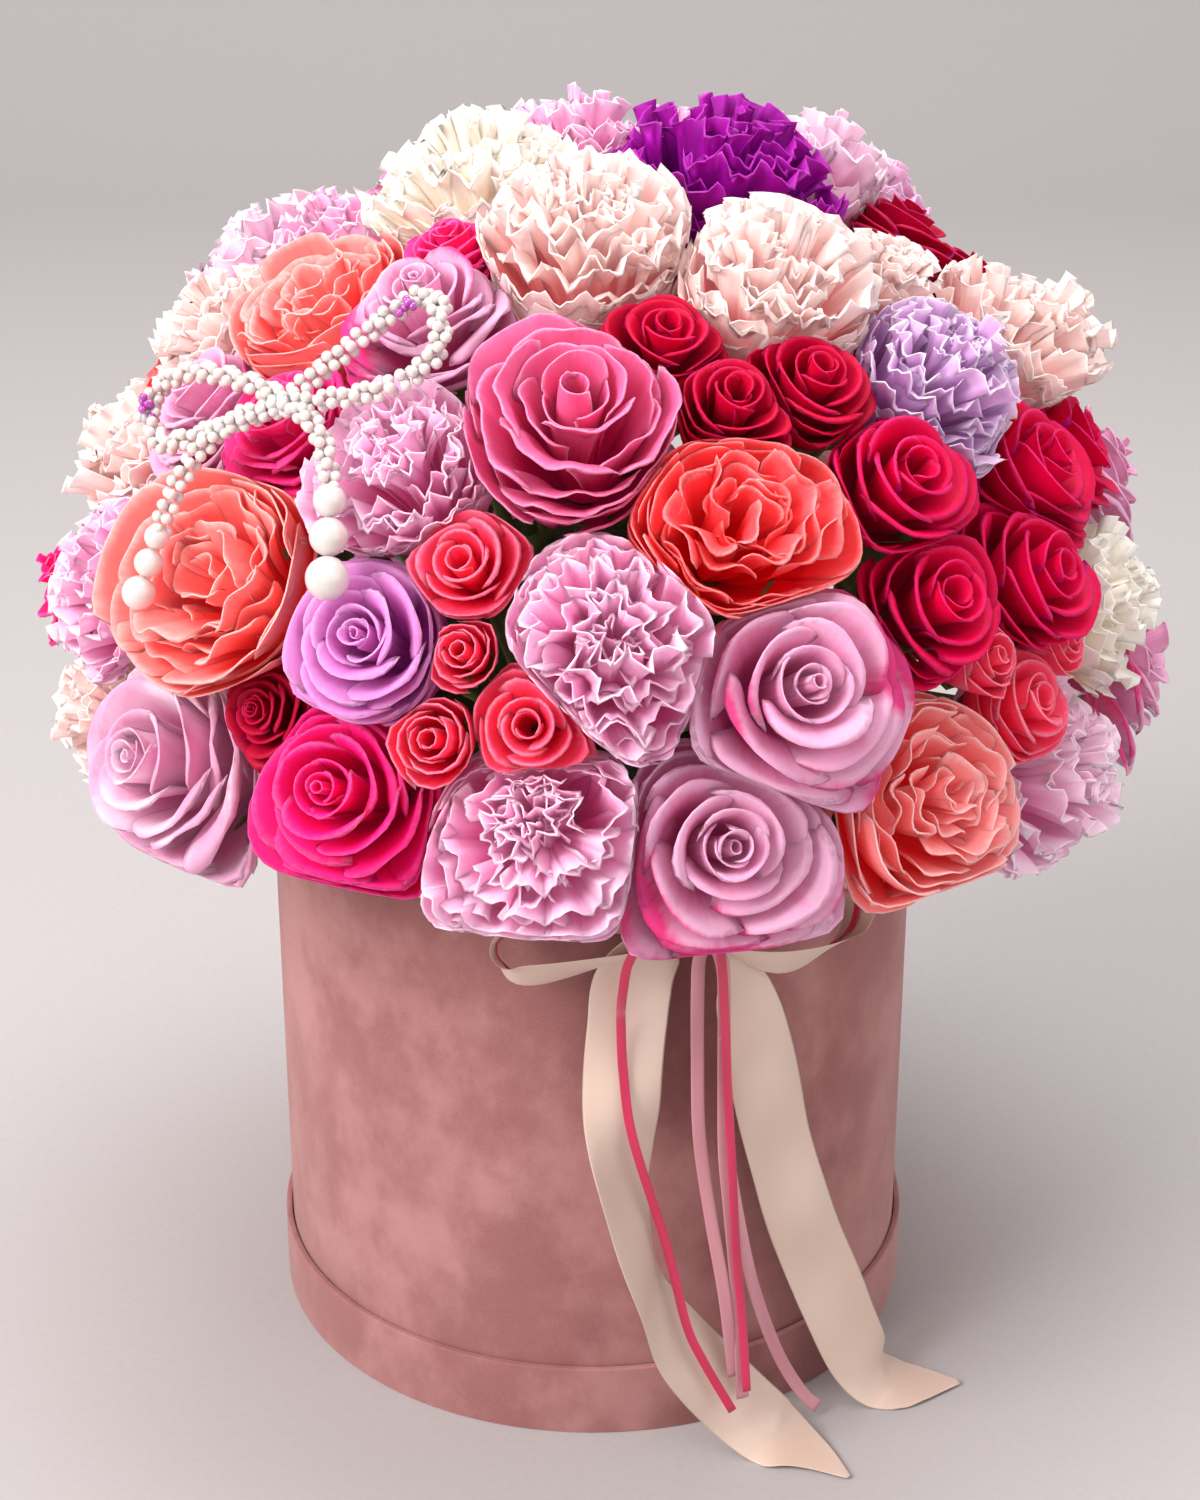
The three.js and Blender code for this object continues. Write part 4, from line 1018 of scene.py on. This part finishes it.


# %% [markdown]
# Petals are thin and full of water: light goes in, is tinted and comes out again near by. So
# each tint has a deep tone for the foot, a body, and an edge that is paler or darker. The deep
# tone at the foot is partly the petal's own colour and partly painted shade in the crevices of
# the bloom. The light that comes through from the petals behind is a faint glow of the same
# colour. Fine veins run from foot to edge, and each petal has its own tone.

# %% Petal finishes
# Each tint: at the foot, where the tone also holds painted shade for the bloom's crevices, on the
# body, at the edge, and perhaps how far the edge's tone is kept to the outer petals
TINTS = {
    "lilac": ((236, 112, 172), (248, 190, 220), (250, 222, 238)),
    "pale_lilac": ((238, 140, 188), (250, 212, 232), (252, 230, 242)),
    "blush": ((252, 156, 160), (254, 228, 222), (255, 243, 237)),
    "cream": ((252, 214, 186), (253, 246, 236), (255, 252, 247)),
    "purple": ((100, 0, 104), (152, 8, 146), (180, 40, 172)),
    "blue": ((178, 92, 166), (214, 176, 218), (242, 230, 246)),
    "dusty": ((212, 112, 162), (232, 180, 212), (244, 212, 232)),
    "rose_lilac": ((208, 88, 144), (230, 172, 202), (216, 16, 112), 1.0),
    "violet": ((180, 62, 160), (224, 142, 208), (236, 172, 224)),
    "hot": ((220, 0, 88), (244, 24, 122), (250, 92, 160)),
    "magenta": ((200, 0, 84), (246, 44, 128), (250, 96, 160)),
    "crimson": ((118, 0, 28), (176, 0, 46), (206, 24, 80)),
    "silver": ((216, 132, 170), (234, 196, 216), (206, 84, 144), 0.5),
    "coral": ((250, 16, 34), (255, 90, 96), (255, 150, 148)),
    "salmon": ((252, 48, 54), (255, 138, 134), (255, 192, 186)),
    "peach": ((254, 56, 62), (255, 158, 158), (255, 208, 206)),
    "mauve": ((204, 34, 102), (230, 106, 154), (242, 156, 190)),
    "red": ((140, 0, 34), (200, 0, 52), (218, 20, 80)),
    "hot_red": ((164, 0, 46), (222, 0, 72), (236, 30, 108)),
    "coral_pink": ((238, 16, 64), (252, 80, 116), (253, 140, 162)),
    "rose_pink": ((210, 60, 124), (234, 122, 172), (244, 164, 200)),
}
# A tint that takes its finish from another's slot
SLOTS = {"salmon": "coral"}
GLOW, VEIN_DEPTH = 0.05, 0.0004
# Where along a petal the body's tone begins and is full, then the edge's, then the edge's on a
# rose whose outer petals alone have it
BODY_RISE, EDGE_RISE, OUTER_RISE = (0.35, 0.80), (0.80, 1.04), (0.68, 0.94)
VEIN_SHIFT, OUTER_KEEP, PATCHY = 0.22, 0.6, 2.4
OWN_TONE, CLOUDY = 0.16, 0.10


def petal_finish(name, deep, body, edge, outside=0.0):
    """From deep at the foot to the body, then to the edge's tone at the rim, with veins that fan
    out from the foot and a tone of its own for each petal. The deep tone at the foot is partly
    the petal's own colour and partly painted shade in the bloom's crevices. outside, from 0 to 1,
    keeps the edge's tone to the outer petals, where it runs further in by patches."""
    finish = Finish(
        name + " petal", Subsurface_Weight=0.7, Subsurface_Scale=0.0015, Specular_IOR_Level=0.15,
        Subsurface_Radius=(1.0, 0.9, 0.9), Emission_Strength=GLOW,
    )
    deep, body, edge = (colour(*tone) for tone in (deep, body, edge))
    grain = finish.grain()
    _, along, tone = finish.parts(grain)
    veins = finish.noise(finish.stretch(grain, (9, 1.2, 40)), 1.0, 3.0, 0.6)
    cloud = finish.noise(finish.place(), 90, 2.0)
    rise = along + (veins - 0.5) * VEIN_SHIFT
    # painted shade: the deep tone at the foot, down in the crevices of the bloom, is partly shade
    # painted into the petal's colour
    low = finish.mix(rise.above(*BODY_RISE), deep, body)
    share = rise.above(*EDGE_RISE)
    if outside:
        patches = (finish.noise(finish.place(), 22, 1.0) - 0.5) * PATCHY
        kept = (finish.outer() - 1) * OUTER_KEEP
        share = (rise + kept + patches).above(*OUTER_RISE) * outside
    high = finish.mix(share, low, edge)
    finish.out("Base Color", finish.mix(tone * OWN_TONE + cloud * CLOUDY, high, deep))
    finish.out("Emission Color", low)
    finish.out("Roughness", 0.66 - veins * 0.2)
    finish.bump(veins, VEIN_DEPTH, 0.5)
    return finish.material


PETAL_FINISHES = {name: petal_finish(name, *tones) for name, tones in TINTS.items()}
print(len(PETAL_FINISHES), "petal finishes")

# %% [markdown]
# Now every flower node gets its petals. Random draws are seeded from the bloom's number, so the
# bunch is the same each time.

# %% Flowers
triangles = 0
for flower, tint, *_ in FLOWERS:
    own = [head for head in heads if head["flower"] == flower]
    points, faces, grain = join([petal_bodies(*bloom(head)) for head in own])
    slot = "petal_" + SLOTS.get(tint, tint)
    piece(flower + "_petals", points, faces, PETAL_FINISHES[tint], slot, [flower], grain)
    triangles += 2 * len(faces[0])
print("petals:", triangles, "triangles")

# %% [markdown]
# Under each bloom a green cup with five sepals holds the petals together. It is a turned shape
# whose rings are wide at the sepals and narrow between them.

# %% Green cups
SEPALS, CUP_GIVE = 5, 0.97
# The cup and its sepals, from the stem up and back inside: how far each ring lies behind the
# bloom's middle, how wide it is, and how wide between the sepals, all in reaches
CUP = np.array([
    (0.92, 0.08, 0.08), (0.82, 0.15, 0.14), (0.70, 0.25, 0.22), (0.60, 0.39, 0.30),
    (0.45, 0.60, 0.36), (0.43, 0.57, 0.35), (0.55, 0.36, 0.28), (0.66, 0.18, 0.16),
])


def green_cup(head):
    """Rings of points that are wide at the sepals and narrow between them, kept behind the walls
    like the petals."""
    right, up = cross_axes(head["facing"])
    number = np.arange(2 * SEPALS)
    angle = (np.pi / SEPALS * number)[:, None]
    back, wide = CUP[:, :1, None], CUP[:, 1:][:, number % 2][..., None]
    rings = head["centre"] + head["reach"] * (
        wide * (np.cos(angle) * right + np.sin(angle) * up) - back * head["facing"]
    )
    return loft(squeeze(head, rings, CUP_GIVE))


# %% [markdown]
# From its cup each stem runs down into the foam, where it drinks. Sprays branch: their stalks
# meet just above the foam. Little of this shows, but without it the blooms would float.

# %% Stems
STEM_RADIUS, BRANCH_RADIUS, STEM_SIDES = 2.6, 1.8, 10
# The foam's dome, how far out of it the stem has its mouth, how deep below the mouth its stops
# lie, and how deep in it a stalk begins
FOAM_RADIUS, FOAM_RISE, JUNCTION_OUT, STEM_DEPTHS, STALK_SINK = 101, 80, 11, (20, 8, 0), 2
# The shares of its thickness that a stalk has on its way, and where it meets its cup and how wide
# it is in there, in reaches of the bloom
STALK_SHARES, CUP_FOOT, CUP_INTO, CUP_WIDE = (1, 0.8, 0.9), 0.98, 0.12, 0.1
# A direction that no stem or wire takes, from which a tube's circles start
ASIDE = (0.31, 0.17, 0.94)


def tube(path, radii):
    """A round body along a path: at each stop a circle of that radius, square to the way."""
    path = np.asarray(path, dtype=float)
    along = unit(np.gradient(path, axis=0))
    right = unit(np.cross(along, ASIDE))[:, None]
    up = np.cross(along, right[:, 0])[:, None]
    cosine, sine = (part[None, :, None] for part in circle(STEM_SIDES))
    ring = cosine * right + sine * up
    return loft(path[:, None] + ring * np.asarray(radii, dtype=float)[:, None, None])


def foam_reach(direction):
    """How far a line from the aim point runs before it leaves the foam's dome."""
    flat = math.hypot(direction[0], direction[1])
    return 1 / math.hypot(flat / FOAM_RADIUS, direction[2] / FOAM_RISE)


def green_finish():
    """Stem green, paler where the light has bleached it, with long fibres."""
    finish = Finish("stem green", Specular_IOR_Level=0.4, Subsurface_Weight=0.08)
    fibres = finish.noise(finish.place(), 160, 3.0)
    finish.between(fibres, (62, 92, 44), (122, 150, 84))
    finish.out("Roughness", 0.6 - fibres * 0.2)
    finish.bump(fibres, 0.0003, 0.5)
    return finish.material


stalks = []
for flower, *_ in FLOWERS:
    own = [head for head in heads if head["flower"] == flower]
    axis = unit(np.mean([head["centre"] for head in own], axis=0) - AIM)
    mouth = AIM + axis * (foam_reach(axis) + JUNCTION_OUT)
    stalks.append(tube([mouth - axis * depth for depth in STEM_DEPTHS], [STEM_RADIUS] * 3))
    thick = STEM_RADIUS if len(own) == 1 else BRANCH_RADIUS
    for head in own:
        reach, facing = head["reach"], head["facing"]
        foot = head["centre"] - facing * CUP_FOOT * reach
        path = [
            mouth - axis * STALK_SINK, (mouth + foot) / 2, foot, foot + facing * CUP_INTO * reach,
        ]
        radii = [thick * share for share in STALK_SHARES]
        stalks.append(tube(path, [*radii, CUP_WIDE * reach]))
        stalks.append(green_cup(head))
piece("flower_stalks", *join(stalks), green_finish(), "foam")

# %% [markdown]
# The pearl bow is strings of small pearls twisted round each other, with three larger pearls at
# the end of each tail. One route runs through each string. Three strands wind round it, with a
# pearl's width from each pearl to the next, and a wire runs from the knot into the foam.

# %% Pearl routes
PEARL, STRANDS, STRAND_OUT, TWIST_LENGTH = 3.5, 3, 2.0, 30.0
PEARL_ROUTES = [
    [(-87, -111, 362), (-71.5, -106.7, 374), (-57.3, -100.7, 384), (-49, -97.5, 388.5),
     (-42, -103, 387)],
    [(-44, -100.5, 387.5), (-42.6, -113, 380.4), (-46.6, -118.7, 374.8), (-59.3, -121, 368.3),
     (-87, -113, 361)],
    [(-87, -111, 362), (-98.4, -99.8, 363.5), (-115, -84, 361.8), (-126.6, -76.5, 356),
     (-133, -81, 346.5)],
    [(-131, -79, 349), (-126.6, -91.8, 343), (-113.3, -102.2, 348.6), (-87, -111.5, 361)],
    [(-87, -111, 361), (-102.4, -106.5, 354.6), (-113, -106.1, 345.3), (-120.5, -109.1, 334.2),
     (-124.9, -113.3, 323.5)],
    [(-87, -112, 361), (-82, -116, 360), (-75.7, -126.1, 355.3), (-72.9, -137.5, 344.5)],
]
BIG_PEARLS = [
    ((-124.6, -113, 325), (-0.33, -0.25, -0.91), (7.5, 8.5, 10)),
    ((-72.9, -136.7, 346), (-0.02, -0.52, -0.85), (9.5, 11, 12.5)),
]
PEARL_KNOT = np.array([-87.0, -111, 362])
ROUTE_FINE, WIRE_RADIUS, WIRE_DEPTH, WIRE_STOP = 0.5, 0.9, 20, 60
print(len(PEARL_ROUTES), "strings of pearls")

# %% [markdown]
# There are hundreds of pearls, so a small one has only a few faces, and all are made at once from
# one ball. A pearl's light comes from just under its skin, so a bright coat lies over a soft body.

# %% Pearl bow
# The points round a ball and its rings of them
SMALL_BALL, LARGE_BALL = (8, 5), (28, 18)


def beads(places, sizes, segments, rings):
    """A ball at each place, of each size across: rings of a circle, at the cosine and sine of
    the angle from the pole."""
    high = (np.pi * (np.arange(rings) + 1) / (rings + 1))[:, None]
    cosine, sine = circle(segments)
    points, faces = loft(np.stack([
        np.sin(high) * cosine, np.sin(high) * sine,
        np.broadcast_to(np.cos(high), (rings, segments)),
    ], -1))
    places, sizes = np.asarray(places), np.asarray(sizes)
    copies = points[None] * (sizes[:, None, None] / 2) + places[:, None]
    shift = len(points) * np.arange(len(places))[:, None, None]
    return copies.reshape(-1, 3), [(f[None] + shift).reshape(-1, f.shape[1]) for f in faces]


def pearl_finish():
    """Pearl: warm white under a bright coat, a little rosier in places."""
    finish = Finish(
        "pearl", Coat_Roughness=0.12, Coat_IOR=1.6, Subsurface_Weight=0.25,
        Subsurface_Scale=0.003, Specular_IOR_Level=0.6, Sheen_Weight=0.3,
    )
    cloud = finish.noise(finish.place(), 220, 2.0)
    finish.between(cloud, (206, 196, 192), (226, 218, 214))
    finish.out("Roughness", cloud * 0.1 + 0.2)
    finish.out("Coat Weight", cloud * 0.2 + 0.6)
    return finish.material


places = []
for stops in PEARL_ROUTES:
    line = smooth(stops, ROUTE_FINE)
    long = length_of(line)
    run = np.linspace(0, len(line) - 1, int(round(long / PEARL)) + 1)
    at = np.stack([np.interp(run, np.arange(len(line)), line[:, k]) for k in range(3)], -1)
    side = unit(np.cross(unit(np.gradient(at, axis=0)), at - AIM))
    out = np.cross(side, unit(np.gradient(at, axis=0)))
    twist = 2 * np.pi * np.linspace(0, 1, len(at)) * long / TWIST_LENGTH
    for strand in range(STRANDS):
        angle = (twist + 2 * np.pi * strand / STRANDS)[:, None]
        places.append(at + STRAND_OUT * (np.cos(angle) * out + np.sin(angle) * side))
small = np.concatenate(places)
large, sizes = [], []
for at, way, row in BIG_PEARLS:
    way = unit(np.array(way))
    for size in row:
        large.append(at + way * size / 2)
        sizes.append(size)
        at = at + way * size
tip = unit(PEARL_KNOT - AIM)
wire = [AIM + tip * (foam_reach(tip) - WIRE_DEPTH), PEARL_KNOT - tip * WIRE_STOP, PEARL_KNOT]
bow = join([
    beads(small, np.full(len(small), PEARL), *SMALL_BALL),
    beads(large, sizes, *LARGE_BALL),
    tube(wire, [WIRE_RADIUS] * 3),
])
piece("pearl_bow_pearls", *bow, pearl_finish(), "pearl", ["pearl_bow"])
print(len(small), "small pearls and", len(large), "large ones")

# %% [markdown]
# At the tip of each loop of the bow sits a cluster of purple glass beads. They are strewn round
# one point, and a fixed seed strews them in the same way each time.

# %% Purple beads
CLUSTERS = [(-51.5, -103, 388.5), (-130, -84, 352)]
CLUSTER_BEADS, CLUSTER_STRAY, CLUSTER_SEED, GLASS = 8, 1.5, 7, 2.6


def bead_finish():
    """Small cut beads of purple glass."""
    finish = Finish("purple bead", Coat_Weight=0.8, Specular_IOR_Level=0.7)
    cloud = finish.noise(finish.place(), 400, 1.0)
    finish.between(cloud, (146, 26, 142), (196, 80, 186))
    finish.out("Roughness", cloud * 0.1 + 0.1)
    return finish.material


spin = np.random.default_rng(CLUSTER_SEED)
glass = np.concatenate([
    np.array(place) + spin.normal(0, CLUSTER_STRAY, (CLUSTER_BEADS, 3)) for place in CLUSTERS
])
glass_beads = beads(glass, np.full(len(glass), GLASS), *SMALL_BALL)
piece("purple_beads", *glass_beads, bead_finish(), "pearl")

# %% [markdown]
# The studio is a sweep of warm grey paper, floor in front and wall behind. A wide curve joins the
# two, so that no line shows behind the box.

# %% Floor
def sweep_finish():
    """Matt paper with faint fibres."""
    finish = Finish("studio paper", Specular_IOR_Level=0.2)
    fibres = finish.noise(finish.place(), 400, 2.0)
    finish.between(fibres, (176, 171, 171), (184, 179, 179))
    finish.out("Roughness", 0.9 - fibres * 0.1)
    return finish.material


FLOOR_FRONT, FLOOR_BACK, WALL_TOP, SIDE = -3000, 1500, 3500, 4000
CURVE, CURVE_POINTS = 900, 25
bend = np.radians(np.linspace(0, 90, CURVE_POINTS))
line = np.concatenate([
    [(FLOOR_FRONT, 0)],
    np.stack([FLOOR_BACK + CURVE * np.sin(bend), CURVE * (1 - np.cos(bend))], -1),
    [(FLOOR_BACK + CURVE, WALL_TOP)],
])
sheet = np.stack([
    np.stack([np.full(len(line), x), line[:, 0], line[:, 1]], -1) for x in (-SIDE, SIDE)
], 1).reshape(-1, 3) * MM
floor_faces = [(2 * i, 2 * i + 1, 2 * i + 3, 2 * i + 2) for i in range(len(line) - 1)]
floor_mesh = bpy.data.meshes.new("floor")
floor_mesh.from_pydata(sheet.tolist(), [], floor_faces)
floor_mesh.polygons.foreach_set("use_smooth", np.ones(len(floor_faces), dtype=bool))
floor_mesh.materials.append(sweep_finish())
floor = bpy.data.objects.new("floor", floor_mesh)
bpy.context.scene.collection.objects.link(floor)
print("floor ready")

# %% [markdown]
# One broad soft light stands on the left and one hangs above. A weak one on the right keeps the
# shadows open.

# %% Light
# Each light: its name, where it stands, how wide it is, its power and its tint
LIGHTS = [
    ("key light", (-1.5, -1.1, 1.5), 1.3, 58, (1.0, 0.985, 0.97)),
    ("top light", (0.1, 0.3, 1.9), 1.4, 26, (1, 1, 1)),
    ("fill light", (1.6, -1.2, 0.9), 1.4, 6, (1, 1, 1)),
]
CENTRE = (0, 0, 0.22)
SKY, SKY_STRENGTH = (1, 0.98, 0.97, 1), 0.68

for name, place, size, power, tint in LIGHTS:
    data = bpy.data.lights.new(name, "AREA")
    data.size, data.energy, data.color = size, power, tint
    lamp = bpy.data.objects.new(name, data)
    bpy.context.scene.collection.objects.link(lamp)
    lamp.location = place
    way = np.array(CENTRE) - np.array(place)
    flat = math.hypot(way[0], way[1])
    lamp.rotation_euler = (math.atan2(flat, -way[2]), 0, math.atan2(-way[0], way[1]))
world = bpy.data.worlds.new("studio")
bpy.context.scene.world = world
world.use_nodes = True
sky = world.node_tree.nodes["Background"]
sky.inputs["Color"].default_value = SKY
sky.inputs["Strength"].default_value = SKY_STRENGTH
print(len(LIGHTS), "lights ready")
